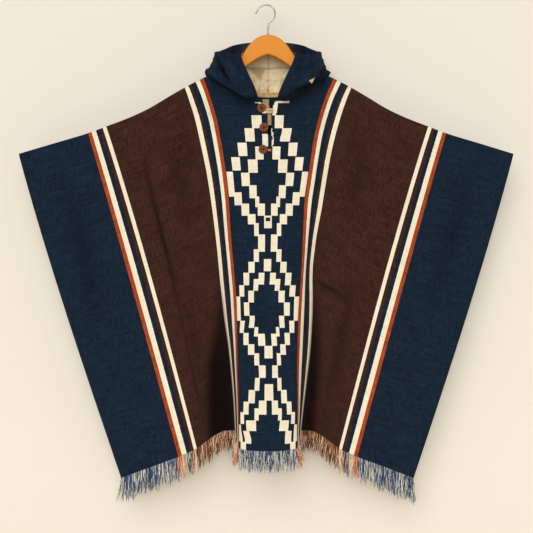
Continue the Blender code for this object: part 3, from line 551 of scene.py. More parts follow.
for is_front in (True, False):
    print(len(row_falls(is_front)), "rows by", len(cloth_columns(is_front)), "columns in half a sheet")


# %% The cloth's surface
HEM_DROP_FROM = 0.96      # the panel's rows sag to the hem's middle over the rest of the fall
QUIET_AT_FOLD = 0.10      # creases grow from nothing over this fraction of the fall
QUIET_PANEL = (-0.37, -0.50)   # on the centre panel they grow between these heights
QUIET_POWER = 6           # and how fast they do so towards the panel's edge
PANEL_WAVES = 0.5         # the panel is held flatter than the rest, so its waves are this much lower
BACK_WAVES = 2.0          # where the back's waves start
# Small gathers along the neck seam: height, distance between them, how far they reach to the side,
# and the parts of the fall over which they start and end.
PUCKER, PUCKER_STEP, PUCKER_REACH = 0.0011, 0.034, 0.05
PUCKER_FALLS = (0.03, 0.16)


def panel_points(front, side, part, fall, fold_lift):
    """The centre panel: from the neckline to the hem, wrapped round like a sector of a column.

    Rows are squeezed between the neckline and the first level row, and run level below it. x is the
    half width times sin(part x wrap) / sin(wrap), and the slit pushes it aside by an amount that
    fades with the square of the way to the edge.
    """
    neck_z = read(NECKLINES[front], 1, part)
    top, hem = LINES[0, 2], LINES[0, 4]
    level_z = top + (hem - top) * fall
    squeezed = neck_z + (LEVEL_FROM - neck_z) * (top - level_z) / (top - LEVEL_FROM)
    sag = PANEL_HEM_DROP * (1 - part ** 2) * ease((fall - HEM_DROP_FROM) / (1 - HEM_DROP_FROM))
    z = np.where(level_z > LEVEL_FROM, squeezed, level_z - sag)
    down = panel_fall(z)
    wrap = PANEL_ROUNDING[0] + (PANEL_ROUNDING[1] - PANEL_ROUNDING[0]) * down
    x = line_x(np.full_like(part, PANEL), down) * np.sin(part * wrap) / np.sin(wrap)
    if front:
        slit_edge = read(SLIT, 1 if side < 0 else 2, z)
        x = x + np.where(z < SLIT[0, 0], 0.0, slit_edge) * (1 - part) ** 2
    depth = cloth_depth(front, part * PANEL, down)
    depth = depth * (fold_lift + (1 - fold_lift) * np.sqrt(1 - part ** NECK_ROUNDING))
    return x, depth, z


def pressed_relief(side, s, fall):
    """Depth of the pressed folds: a bell curve across each thread line, faded in and out along it."""
    height = np.zeros_like(s)
    for fold_side, at, start, end, half_width, depth in PRESSED:
        along = limited((fall - start) / (end - start))
        fade = np.sin(math.pi * along) ** PRESSED_ENDS * (side == fold_side)
        height -= depth * fade * bell(s, at, half_width)
    return height


def half_cloth(front, side, cloth, falls):
    """Half of the front or the back: points as they hang, and how far the creases reach in."""
    fall, s = np.meshgrid(falls, cloth, indexing="ij")
    outer = np.maximum(s, PANEL)
    top_z, hem_z = line_value("top_z", outer), line_value("hem_z", outer)
    x, z = line_x(outer, fall), top_z + (hem_z - top_z) * fall
    depth = cloth_depth(front, outer, fall)

    turn = np.linspace(0.0, math.pi / 2, FOLD_ROWS + 1)[1:]
    lip = FOLD_LIP / DEPTH_AT_NECK
    lifts = np.concatenate(([SEAM / 2 / DEPTH_AT_NECK, lip], lip + (1 - lip) * np.sin(turn),
                            np.ones(len(falls) - FOLD_ROWS - 2)))
    full = cloth_depth(front, outer[0], 0 * outer[0])
    for row, angle in enumerate(np.concatenate(([0.0, 0.0], turn))):
        depth[row] = FOLD_LIP + (full - FOLD_LIP) * math.sin(angle) if row else SEAM / 2
        z[row] = line_value("top_z", outer[row]) - FOLD_DROP * (1 - math.cos(angle))
        x[row] = line_x(outer[row], FOLD_DROP * (1 - math.cos(angle)) / (top_z - hem_z)[row])

    in_panel = s < PANEL - MERGE
    part = limited(s / PANEL)
    inner_x, inner_depth, inner_z = panel_points(front, side, part, fall, lifts[:, None])
    x, depth, z = (np.where(in_panel, inner, hanging) for inner, hanging in
                   ((inner_x, x), (inner_depth, depth), (inner_z, z)))
    if front:
        by_edge = ease((BROWN_START - s) / STRIPE_GROUP) * part
        by_brown = ease((s - PANEL) / STRIPE_GROUP) * ease(1 - (s - BROWN_START) / STRAY_REACH)
        x += side * (stray_at(EDGE_STRAYS[side], z) * by_edge + stray_at(STRAYS[side], z) * by_brown
                     + stray_at(MIDDLE_STRAYS, z) * (1 - part ** 2)
                     + stray_at(HALF_STRAYS[side], z) * 4 * part * (1 - part))
    depth[0, np.argmax(cloth >= PANEL - MERGE)] = NECK_CORNER

    points = placed(np.stack((x, depth, z), axis=-1), side)
    low_enough = (QUIET_PANEL[0] - z) / (QUIET_PANEL[0] - QUIET_PANEL[1])
    show = ease(fall / QUIET_AT_FOLD)
    show = show * np.where(s < PANEL, ease(low_enough + (s / PANEL) ** QUIET_POWER), 1.0)
    creases = crease_relief(CREASES[front], points[..., 0], z) * show
    if front:
        creases += pressed_relief(side, s, fall)
    waves = wave_relief(side * s, fall, 0.0 if front else BACK_WAVES)
    waves = waves * np.where(in_panel, PANEL_WAVES, 1.0) * show
    start, end = PUCKER_FALLS
    near_neck = bell(s, PANEL, PUCKER_REACH) * ease(fall / start) * bell(fall, 0.0, end)
    gathers = PUCKER * near_neck * np.sin(2 * math.pi * side * s / PUCKER_STEP)
    points[..., 1] += creases + waves + gathers
    points[..., 1] *= -1.0 if front else 1.0
    return points, np.clip(-creases, 0.0, None)


half_front, _ = half_cloth(True, 1, cloth_columns(True), row_falls(True))
print("half the front's hem is", round(float(run_along(half_front[-1])[-1]), 3), "m long")

# %% [markdown]
# ### Painted shade in the folds
#
# Each point also gets a `shade` between 0 and 1: painted shade, which the dye is multiplied down by,
# so that the folds come out darker than the lamps alone make them. It is worked out from the form
# alone: beside the box fold, where the brown panel runs back behind it, under the rolled edge of the
# hood, where it stands for the hood's shadow, and in each crease.

# %% Painted shade in the folds
# Painted shade beside the box fold, by side: how far it reaches across the brown panel at these
# fractions of the fall, and how dark it is there.
RECESS_FALLS = (0.42, 0.58, 0.70, 0.80, 1.00)
RECESS_REACH = {-1: (0.00, 0.02, 0.22, 0.44, 0.66), 1: (0.00, 0.02, 0.16, 0.26, 0.36)}
RECESS_DARK = {-1: (0.00, 0.30, 0.78, 0.86, 0.86), 1: (0.00, 0.30, 0.74, 0.84, 0.86)}
RECESS_SOFT = 0.26        # how softly the dark ends
RECESS_START = 0.03       # and how soon it starts, as parts of the brown panel
BACK_SHARE = 0.5          # the back's painted shade beside the box fold and in the hollow is this much fainter
# Painted shade in a hollow on the brown panel, higher up.
HOLLOW_ABOVE = (0.24, 0.10, 0.36, 0.10, 0.30)  # fall, its spread, part of brown, its spread, dark
CREASE_FULL = 0.0052      # a crease this deep gets the darkest painted shade
CREASE_DARK = 0.62
UNDER_HOOD = ((0.012, 0.40), (0.034, 0.55))   # painted shadow of the hood: how far below the neckline, how dark
UNDER_HOOD_FROM = 0.050   # beside the slit the painted shadow of the hood fades out


def cloth_shade(front, side, cloth, falls, points, creases):
    """Painted shade of half a sheet: one minus the product of what each of its causes lets through."""
    fall, s = np.meshgrid(falls, cloth, indexing="ij")
    across = (s - BROWN_START) / BROWN
    strength = 1.0 if front else BACK_SHARE
    reach = np.interp(fall, RECESS_FALLS, RECESS_REACH[side])
    dark = np.interp(fall, RECESS_FALLS, RECESS_DARK[side])
    beside_fold = dark * ease((reach - across) / RECESS_SOFT + 0.5) * ease(across / RECESS_START + 1.0)
    level, level_soft, place, place_soft, faint = HOLLOW_ABOVE
    hollow = faint * bell(fall, level, level_soft) * bell(across, place, place_soft)
    in_crease = CREASE_DARK * limited(creases / CREASE_FULL)
    lit = (1 - strength * beside_fold) * (1 - strength * hollow) * (1 - in_crease)
    below = points[:1, :, 2] - points[..., 2]
    for reach_down, dark_there in UNDER_HOOD:
        lit = lit * (1 - dark_there * bell(below, 0.0, reach_down) * (s < PANEL)
                     * ease(s / UNDER_HOOD_FROM))
    return 1 - lit


print("darkest shade beside the box fold:", max(max(dark) for dark in RECESS_DARK.values()))


# %% Find the figure's faces
def figure_faces(front, side, cloth, falls):
    """Which faces are figure: for each block, the rows between its levels and its columns there."""
    fall, s = np.meshgrid((falls[:-1] + falls[1:]) / 2, (cloth[:-1] + cloth[1:]) / 2, indexing="ij")
    x, depth, z = panel_points(True, side, limited(s / PANEL), fall, 1.0)
    at = len(cloth[cloth < PANEL]) // 2
    near = EYE_DISTANCE / (EYE_DISTANCE - depth[:, at])
    below = -1000 * (EYE_HEIGHT + (z[:, at] - EYE_HEIGHT) * near)
    aside = x / line_x(np.full(len(z), PANEL), panel_fall(z[:, at]))[:, None]
    in_panel = s[0] < PANEL
    faces = np.zeros(aside.shape)
    blocks = [(block, 1.0) for block in np.concatenate((OUTER_BLOCKS, INNER_BLOCKS))]
    blocks += [(block, 1.0) for block in ONE_SIDED_BLOCKS[side] if front] + [(GAP_BLOCK, 0.0)]
    for (inner, outer, top, bottom), mark in blocks:
        row = np.argmin(np.abs(below - (top + bottom) / 2))
        columns = (aside[row] > inner) & (aside[row] < outer) & in_panel
        faces[np.ix_((below > top) & (below < bottom), columns)] = mark
    for levels, inner, outer in STROKES if front and side > 0 else ():
        stroke = ((aside > np.interp(below, levels, inner)[:, None])
                  & (aside < np.interp(below, levels, outer)[:, None]) & in_panel)
        faces[stroke & ((below > levels[0]) & (below < levels[-1]))[:, None]] = 1.0
    return faces


found = figure_faces(True, 1, cloth_columns(True), row_falls(True))
print(int(found.sum()), "of", found.size, "faces of the front's right half are figure")


# %% Make the front and the back
def cloth_sheet(name, front):
    """One sheet: both halves, with UVs that count threads, the figure's faces and the painted shade."""
    cloth, falls = cloth_columns(front), row_falls(front)
    halves, uv, shade, figure = [], [], [], []
    for side in (-1, 1):
        half, creases = half_cloth(front, side, cloth, falls)
        from_fold = np.where(cloth < PANEL, LINES[0, 2] - half[0, :, 2], 0.0)
        drift = sum(stray_at(table, half[..., 2]) * np.interp(cloth, *window)
                    for table, window in zip(DRIFTS[side], DRIFT_WINDOWS))
        uv.append(np.stack((side * (cloth - drift), run_along(half) + from_fold), axis=-1))
        halves.append(half)
        shade.append(cloth_shade(front, side, cloth, falls, half, creases))
        figure.append(figure_faces(front, side, cloth, falls))
    quads = np.concatenate((grid_quads(half), grid_quads(half, half[..., 0].size)))
    piece = new_piece(name, halves, quads, uv, {"shade": shade}, {"figure": figure})
    close_up(piece, (0.2, 0.0, -0.8), (0, -1 if front else 1, 0))
    thicken(piece, WALL)
    return report(piece)


front = cloth_sheet("poncho_front", True)
back = cloth_sheet("poncho_back", False)

# %% [markdown]
# ## Woven looks
#
# A weave is two sets of threads that cross. Seen from a few steps away the eye doesn't read single
# threads but their slubs, the thicker and thinner stretches of a hand-spun yarn. So the material
# stretches two noises, one along the warp and one along the weft, and lets them lighten and darken
# the dye. A fine checker of bumps stands for the crossings. Everything follows the UV map, so the
# threads bend with the cloth.

# %% Helpers for materials
def dye(red, green, blue):
    """A colour from a dyer's chart, 0 to 255, as the linear values that Blender works with."""
    parts = np.array((red, green, blue)) / 255
    linear = np.where(parts <= 0.04045, parts / 12.92, ((parts + 0.055) / 1.055) ** 2.4)
    return (*linear.tolist(), 1.0)


def new_look(name, **settings):
    """A material with one Principled shader; settings go straight onto the shader's sockets."""
    look = bpy.data.materials.new(name)
    look.use_nodes = True
    shader = look.node_tree.nodes["Principled BSDF"]
    for key, value in settings.items():
        shader.inputs[key.replace("_", " ")].default_value = value
    return look


def feed(look, socket, term):
    """Gives a socket a number or a colour, or links it to another node's output."""
    if isinstance(term, bpy.types.NodeSocket):
        look.node_tree.links.new(term, socket)
    else:
        socket.default_value = term


def add(look, kind, options=None, **inputs):
    """Adds a node: options are its own settings, inputs are terms for its sockets by name."""
    made = look.node_tree.nodes.new("ShaderNode" + kind)
    for key, value in (options or {}).items():
        setattr(made, key, value)
    for key, term in inputs.items():
        feed(look, made.inputs[key.replace("_", " ")], term)
    return made


def calc(look, operation, *terms):
    """A Math node on one or two terms."""
    made = add(look, "Math", {"operation": operation})
    for socket, term in zip(made.inputs, terms):
        feed(look, socket, term)
    return made.outputs[0]


def plus(look, first, second):
    """The sum of two terms."""
    return calc(look, "ADD", first, second)


def minus(look, first, second):
    """The difference of two terms."""
    return calc(look, "SUBTRACT", first, second)


def times(look, first, second):
    """The product of two terms."""
    return calc(look, "MULTIPLY", first, second)


def size_of(look, term):
    """A term without its sign."""
    return calc(look, "ABSOLUTE", term)


def spread(look, value, low, high, start=0.0, end=1.0):
    """Maps a value from low..high to start..end, held at both ends."""
    made = add(look, "MapRange", {"clamp": True}, Value=value)
    for key, number in (("From Min", low), ("From Max", high), ("To Min", start), ("To Max", end)):
        made.inputs[key].default_value = number
    return made.outputs[0]


def mixed(look, amount, first, second, blend="MIX"):
    """First where amount is 0 and second where it is 1, or another blend of the two."""
    made = add(look, "Mix", {"data_type": "RGBA", "blend_type": blend})
    for place, term in ((0, amount), (6, first), (7, second)):
        feed(look, made.inputs[place], term)
    return made.outputs[2]


def noise(look, place, scale, detail=2.0, rough=0.5):
    """A noise's value at a place."""
    made = add(look, "TexNoise", Vector=place, Scale=scale, Detail=detail, Roughness=rough)
    return made.outputs[0]


def stretched(look, place, across, down, depth=1.0):
    """A place with its axes scaled, which stretches whatever pattern reads it."""
    made = add(look, "Mapping", Vector=place)
    made.inputs["Scale"].default_value = (across, down, depth)
    return made.outputs[0]


def carried(look, name):
    """A number that each point or face of the piece carries."""
    return add(look, "Attribute", {"attribute_name": name}).outputs[2]


def on_threads(look):
    """A place on the cloth, as its UV map gives it, in metres across and down the threads."""
    return add(look, "UVMap", {"uv_map": "threads"}).outputs[0]


def in_block(look):
    """A place in the solid block that a piece is cut from: its Object coordinates."""
    return add(look, "TexCoord").outputs["Object"]


def stepped(look, value, stops):
    """A ramp with hard steps: each stop is a start and the colour that runs from there."""
    ramp = add(look, "ValToRGB", Fac=value)
    ramp.color_ramp.interpolation = "CONSTANT"
    steps = ramp.color_ramp.elements
    while len(steps) < len(stops):
        steps.new(1.0)
    for step, (start, colour) in zip(steps, stops):
        step.position = start / CLOTH_EDGE
        step.color = colour
    return ramp.outputs[0]


def dimmed(look, colour, amount):
    """A colour multiplied by a number."""
    grey = add(look, "CombineColor", Red=amount, Green=amount, Blue=amount).outputs[0]
    return mixed(look, 1.0, colour, grey, "MULTIPLY")


def finish_look(look, colour, height, distance, strength, roughness=None):
    """Links a colour, a height as bump, and maybe a roughness, to a material's shader."""
    shader = look.node_tree.nodes["Principled BSDF"]
    feed(look, shader.inputs["Base Color"], colour)
    if roughness is not None:
        feed(look, shader.inputs["Roughness"], roughness)
    bump = add(look, "Bump", Height=height, Distance=distance, Strength=strength)
    feed(look, shader.inputs["Normal"], bump.outputs[0])
    return look


print("a mid grey dye is", round(dye(128, 128, 128)[0], 3), "in linear light")


# %% Threads
THREAD = 0.0016           # distance between threads
SLUBS = {"warp": (300, 38), "weft": (15, 330)}   # slubs to a metre, across the cloth and down it
SLUB_RANGE = (0.30, 0.72, -0.5, 0.5)      # the noise between these two becomes this much light or dark
WOVEN = {"Roughness": 0.95, "Specular_IOR_Level": 0.06}
BRUSHED = {"Sheen_Weight": 0.03, "Sheen_Roughness": 0.6}


def thread_marks(look, threads):
    """Slubs of warp and weft, the height of the threads with their slubs, and the weft's noise."""
    warp, weft = (noise(look, stretched(look, threads, *SLUBS[name]), 1.0, 3.0, 0.6) for name in SLUBS)
    slubs = plus(look, spread(look, warp, *SLUB_RANGE), spread(look, weft, *SLUB_RANGE))
    axes = add(look, "SeparateXYZ", Vector=threads)
    across, down = (calc(look, "SINE", times(look, axes.outputs[axis], 2 * math.pi / THREAD))
                    for axis in (0, 1))
    crossing = times(look, across, down)
    return slubs, plus(look, times(look, crossing, 0.5), slubs), weft


def shaded(look, colour):
    """A colour dimmed by the painted shade that the points carry."""
    return dimmed(look, colour, minus(look, 1.0, carried(look, "shade")))


print("threads to 10 cm:", round(0.1 / THREAD))


# %% The poncho's cloth
NAVY = dye(24, 38, 54)
BROWN_DYE = dye(64, 37, 30)
CREAM = dye(250, 237, 208)
ORANGE = dye(172, 72, 34)
# Where each stripe starts, counted in metres from the centre line, with its dye.
STRIPES = ((0.0000, NAVY), (0.1290, ORANGE), (0.1393, CREAM), (0.1500, NAVY), (0.1622, BROWN_DYE),
           (0.1703, CREAM), (0.1820, BROWN_DYE), (0.3970, CREAM), (0.4070, BROWN_DYE),
           (0.4155, NAVY), (0.4270, CREAM), (0.4382, ORANGE), (0.4480, NAVY))
WANDER = 0.0016           # how far a stripe's edge wanders from thread to thread
NAVY_SLUBS, CREAM_SLUBS = 0.72, 0.16      # slubs show this much on dark dyes and on pale ones


def poncho_cloth():
    """Striped and figured weave: a stepped ramp across the cloth, the figure, the slubs, then the
    painted shade.
    """
    look = new_look("striped_weave", **WOVEN, **BRUSHED)
    threads = on_threads(look)
    slubs, height, weft = thread_marks(look, threads)
    axes = add(look, "SeparateXYZ", Vector=threads)
    wander = times(look, minus(look, weft, 0.5), WANDER)
    from_centre = plus(look, size_of(look, axes.outputs[0]), wander)
    striped = stepped(look, calc(look, "DIVIDE", from_centre, CLOTH_EDGE), STRIPES)
    in_panel = calc(look, "LESS_THAN", from_centre, PANEL)
    figured = times(look, carried(look, "figure"), in_panel)
    dyed = mixed(look, figured, striped, CREAM)

    green = add(look, "SeparateColor", Color=dyed).outputs[1]
    showing = spread(look, green, 0.08, 0.5, NAVY_SLUBS, CREAM_SLUBS)
    patches = spread(look, noise(look, threads, 14.0, 3.0), 0.3, 0.7, 0.95, 1.05)
    shade = plus(look, times(look, slubs, showing), patches)
    return finish_look(look, shaded(look, dimmed(look, dyed, shade)), height, 0.0005, 0.55)


striped_weave = poncho_cloth()
dress((front, back), striped_weave)
print("stripes from the centre to the side:", len(STRIPES))

# %% [markdown]
# ## The hood
#
# The hood is two halves of doubled cloth, navy outside and undyed inside, sewn together down the
# middle of the back. With no head in it, it slumps round the hanger like a bag: its wall leans out
# from the neck seam, rolls over and comes back in. A cubic Bezier curve from the seam to the top edge
# does that with two handles, and the handles' lengths change smoothly round the neck. The folds are
# listed one by one and pushed along the surface's own normals.

# %% Sizes of the hood
HOOD_WALL = 0.0018
HOOD_RIM_AT = 0.100       # the rim starts at this part of the panel's half width
HOOD_TUCK = 0.0012        # how far the hood's edge is tucked under the neckline
# Top edge: place round the half hood (0 throat, 1 middle of the back), x, y, z.
HOOD_TOP = np.array([
    (0.00, 0.0684, -0.030, -0.1254),
    (0.15, 0.0906, -0.040, -0.1300),
    (0.32, 0.1150, -0.036, -0.1236),
    (0.43, 0.1310, -0.022, -0.1205),
    (0.50, 0.1370, 0.000, -0.1200),
    (0.57, 0.1320, 0.022, -0.1160),
    (0.68, 0.1100, 0.040, -0.1050),
    (0.78, 0.0880, 0.047, -0.0950),
    (0.89, 0.0490, 0.052, -0.0880),
    (1.00, 0.0000, 0.054, -0.0865),
])
# Handles: place, outwards and down near the neck, outwards and down near the top.
HOOD_HANDLES = np.array([
    (0.00, 0.006, -0.030, 0.010, 0.030),
    (0.25, 0.012, -0.020, 0.012, 0.022),
    (0.50, -0.002, -0.020, 0.000, 0.016),
    (0.75, 0.036, 0.030, 0.032, 0.020),
    (1.00, 0.075, 0.055, 0.055, 0.025),
])
# Edge of the crown, behind the hanger's arch: x, y, z from the side to the middle.
CROWN_EDGE = mm([(55, 12, -112), (42, 16, -116), (24, 18, -119), (0, 18, -118)])
# The valley between the top's front and back edges: x, and its depth there.
TOP_VALLEY = mm([(60, 12), (75, 18), (95, 32), (112, 26), (126, 8), (137, 0)])
CROWN_RISE = -0.003       # the crown rises a little instead
HOOD_FRONT_STEPS = 84
HOOD_FINE_STEPS = 400     # places tried behind, to find those at the same x
HOOD_ROWS = 72
CROWN_ROWS = 30
CROWN_STEPS = 16
print("the hood's rim is", HOOD_TOP[:, 1].max() * 2, "m wide")

# %% Folds of the hood
HOOD_CREASES = mm([
    (-126, -132, -88, -204, -6, 6.5, -8.5),
    (-100, -128, -80, -168, 3, 5, -3.5),
    (96, -150, 140, -134, 2, 6, 4),
    (70, -176, 128, -160, 3, 5, -3),
    (-140, -140, -106, -210, -4, 11, 5),
    (-102, -134, -64, -214, -2, 13, 5),
    (-128, -190, -50, -240, -4, 4, -7),
    (-70, -140, -46, -226, 0, 10, 3),
    (-150, -176, -136, -152, 0, 6, 4),
    (164, -150, 44, -236, 14, 6.5, -7.5),
    (150, -132, 60, -216, 12, 12, 6),
    (132, -186, 60, -222, 6, 3.5, -6),
    (78, -140, 46, -220, 0, 10, 3),
    (158, -186, 160, -158, 0, 6, 4),
])
# The hood's back falls in a few deep folds: place round the half, half width, height.
BACK_FOLDS = np.array([(0.66, 0.030, -0.0050), (0.75, 0.035, 0.0045), (0.84, 0.032, -0.0055),
                       (0.93, 0.030, 0.0040)])
# A soft roll just above the neck seam: how far up the wall, half width, and how far it stands out.
NECK_ROLL = (0.15, 0.11, 0.0075)
ROLL_LUMPS = ((2.0, 0.6, 0.20), (5.0, 2.2, 0.14))
ROLL_SAG = 0.28
# Knots of cloth where the hood's sides turn back: place, how far up, their spreads, their heights.
KNOT = (0.47, 0.24, 0.05, 0.11)
KNOT_HEIGHT = {-1: 0.0070, 1: -0.0030}
FOLDS_TURN = (0.52, 0.12)     # the front's creases end, and the back's folds start, about here
BACK_LEAN = 0.05              # how far the back's folds lean as they rise
BACK_SWING = (2.4, 9)         # in radians: over the wall's height, and from fold to fold
FOLDS_HELD = 0.7              # how abruptly folds end at the wall's edges: 0 at once, 1 like a sine
HOOD_MIDDLE = (MIDDLE_SHIFT, 0.0, -0.17)
THROAT_SOFT, BACK_SOFT, SHADE_SOFT = 0.10, 0.05, 0.05   # the roll and its shade fade near the seams
# Painted shade in the hollows: depth of a crease at its darkest, and the darkest painted shades.
HOOD_CREASE_FULL = 0.0080
HOOD_PAINTED_SHADE = {"crease": 0.86, "under_roll": 0.75, "valley": 0.86}
RIDGE_HIGHLIGHT = 0.45        # and a painted highlight: how much paler it gets along its ridges
# Small wrinkles gather on the hood's sides, where its wall turns back: repeats, lean and height.
SIDE_WRINKLES = ((4.0, 3.0, 0.0008), (7.0, -5.0, 0.0004))
WRINKLES_AT = (0.46, 0.16)
# Where the right edge rolls over, a corner of the pale side peeps out: its corners' x and z.
PEEP_CORNERS = mm([(109, -196.2), (123.2, -189), (116.6, -201.6)])
PEEP_EDGE = 0.0008
# Inside, painted shade stands for a fold that sags across the hood's back, under a stitched band.
SAG_SHADE_CORNERS = mm([(-45, -151), (-1, -151), (-16.5, -183)])
SAG_SHADE_EDGE = 0.0060
BAND_AT = -0.1510
BAND_WAVE = 0.0160
BAND_SEAM = (0.0004, 0.0042)
print(len(HOOD_CREASES), "creases on the hood's front")


# %% The hood's surface
def neck_seam(places, side):
    """The neck seam from the throat to the middle of the back, tucked under both necklines."""
    ahead = limited(places / 0.5)
    behind = limited((places - 0.5) / 0.5)
    lift = SEAM / 2 / DEPTH_AT_NECK
    fold = np.zeros_like(places)
    x, depth, z = panel_points(True, side, HOOD_RIM_AT + (1 - HOOD_RIM_AT) * ahead, fold, lift)
    back_x, back_depth, back_z = panel_points(False, side, np.cos(behind * math.pi / 2), fold, lift)
    in_front = places <= 0.5
    seam = np.stack((np.where(in_front, x, back_x), np.where(in_front, -depth, back_depth),
                     np.where(in_front, z, back_z)), axis=-1)
    seam[:, 1] = np.where(places == 0.5, 0.0, seam[:, 1])
    seam[:, 2] -= HOOD_TUCK * np.sin(np.where(in_front, ahead, behind) * math.pi) ** 0.5
    return seam


def hood_places():
    """Columns round the half hood: those ahead, those behind at the same x, then the crown's."""
    ahead = np.linspace(0.0, 0.5, HOOD_FRONT_STEPS + 1)
    behind = np.linspace(0.5, 1.0, HOOD_FINE_STEPS)
    behind_x = read(HOOD_TOP[4:], 1, behind)
    top_x = read(HOOD_TOP[:5], 1, ahead)[-2::-1]
    crown_x = through(CROWN_EDGE, CROWN_STEPS)[:, 0]
    return ahead, np.interp(-top_x, -behind_x, behind), np.interp(-crown_x, -behind_x, behind)


def hood_wall(places, side):
    """The wall: a cubic Bezier curve from the seam to the top edge, for each place round the neck."""
    bottom = neck_seam(places, side)
    top = np.stack([read(HOOD_TOP, axis, places) for axis in (1, 2, 3)], axis=-1)
    out_low, down_low, out_high, down_high = (
        read(HOOD_HANDLES, column, places)[:, None] for column in (1, 2, 3, 4))
    angle = (places - 0.5) * math.pi
    outwards = np.stack((np.cos(angle), np.sin(angle), np.zeros_like(angle)), axis=-1)
    down = np.array((0.0, 0.0, -1.0))
    low = bottom + outwards * out_low + down * down_low
    high = top + outwards * out_high + down * down_high
    t = np.linspace(0.0, 1.0, HOOD_ROWS + 1)[:, None, None]
    return ((1 - t) ** 3 * bottom + 3 * t * (1 - t) ** 2 * low
            + 3 * t * t * (1 - t) * high + t ** 3 * top)


print("columns ahead, behind and of the crown:", *[len(places) for places in hood_places()])


# %% Patches and folds
def across_patch(front_edge, back_edge, valley):
    """A patch from one edge back to another, dented between them by a parabola of this depth."""
    t = np.linspace(0.0, 1.0, CROWN_ROWS + 1)[:, None, None]
    patch = (1 - t) * front_edge + t * back_edge
    patch[..., 2] -= 4 * t[..., 0] * (1 - t[..., 0]) * valley
    return patch


def grid_normals(points):
    """Unit normals of a grid: the cross product of its two directions."""
    normals = np.cross(np.gradient(points, axis=1), np.gradient(points, axis=0))
    return normals / np.maximum(np.linalg.norm(normals, axis=-1, keepdims=True), 1e-9)


def fold_height(wall, places, side):
    """Height of the listed folds: creases ahead, leaning bells behind, wrinkles at the side."""
    ahead = ease((FOLDS_TURN[0] - places) / FOLDS_TURN[1])
    up = np.linspace(0.0, 1.0, len(wall))[:, None]
    height = crease_relief(HOOD_CREASES, wall[..., 0], wall[..., 2]) * ahead
    for middle, half_width, top in BACK_FOLDS:
        lean = middle + BACK_LEAN * np.sin(BACK_SWING[0] * up + BACK_SWING[1] * middle) * side
        height = height + top * bell(places, lean, half_width) * (1 - ahead)
    for repeats, lean, top in SIDE_WRINKLES:
        wrinkle = np.sin(2 * math.pi * (repeats * up + lean * places) + side)
        height = height + top * bell(places, *WRINKLES_AT) * wrinkle
    knot_place, knot_up, wide, tall = KNOT
    return height + KNOT_HEIGHT[side] * bell(places, knot_place, wide) * bell(up, knot_up, tall)


def fold_wall(wall, places, side):
    """Pushes the folds and the roll out of the wall, along normals turned away from the neck."""
    normals = grid_normals(wall)
    normals *= np.sign(np.sum(normals * (wall - HOOD_MIDDLE), axis=-1, keepdims=True))
    height = fold_height(wall, places, side)
    up = np.linspace(0.0, 1.0, len(wall))[:, None]
    held = np.sin(math.pi * up) ** FOLDS_HELD
    roll_at, roll_width, roll_out = NECK_ROLL
    lumps = 1 + sum(top * np.sin(2 * math.pi * count * places + start * (2 + side))
                    for count, start, top in ROLL_LUMPS)
    rising = np.minimum(1.0, up / roll_at)
    roll = roll_out * lumps * bell(up, roll_at, roll_width) * ease(places / THROAT_SOFT) * rising
    at_middle = ease((1.0 - places) / BACK_SOFT)
    moved = normals * ((height * held + roll) * at_middle)[..., None]
    sag = (0.0, 0.0, -1.0) * (roll * ROLL_SAG * at_middle)[..., None]
    # Painted shade: darker in the creases and below the roll's crest; painted highlight: paler on the
    # ridges.
    lit = 1 - HOOD_PAINTED_SHADE["crease"] * limited(-height / HOOD_CREASE_FULL)
    lit = lit * (1 - HOOD_PAINTED_SHADE["under_roll"] * (1 - rising) * ease(places / SHADE_SOFT))
    lit = lit * (1 + RIDGE_HIGHLIGHT * limited(height / HOOD_CREASE_FULL))
    return wall + moved + sag, 1 - lit


def inside_corners(points, corners, soft):
    """1 inside a patch seen from the front and 0 outside, from the distances to its sides."""
    inside = np.ones(points.shape[:-1])
    for start, end in zip(corners, np.roll(corners, -1, axis=0)):
        run = (end - start) / np.linalg.norm(end - start)
        beside = (points[..., 0] - start[0]) * -run[1] + (points[..., 2] - start[1]) * run[0]
        inside = np.minimum(inside, limited(0.5 - beside / soft))
    return inside


print("corners of the sagging fold:", SAG_SHADE_CORNERS.tolist())


# %% Make the hood
# The top of the hood gets painted shade where its valley is deep.
VALLEY_DARK = (0.006, 0.020)      # the top is shaded where its valley is deeper than this, then fully


def hood_grids(wall, ahead, matched):
    """The half hood's three grids: its wall, the top that closes it, and the crown."""
    front_top = wall[-1, :ahead]
    behind_top = wall[-1, ahead - 1:ahead + matched][::-1]
    valley = smooth(*TOP_VALLEY.T, front_top[:, 0])
    top = across_patch(front_top, behind_top, valley)
    crown_edge = np.concatenate((front_top[:1], through(CROWN_EDGE, CROWN_STEPS)))
    dents = np.array([TOP_VALLEY[0, 1]] + [CROWN_RISE] * CROWN_STEPS)
    return valley, (wall, top, across_patch(crown_edge, wall[-1, ahead + matched - 1:], dents))


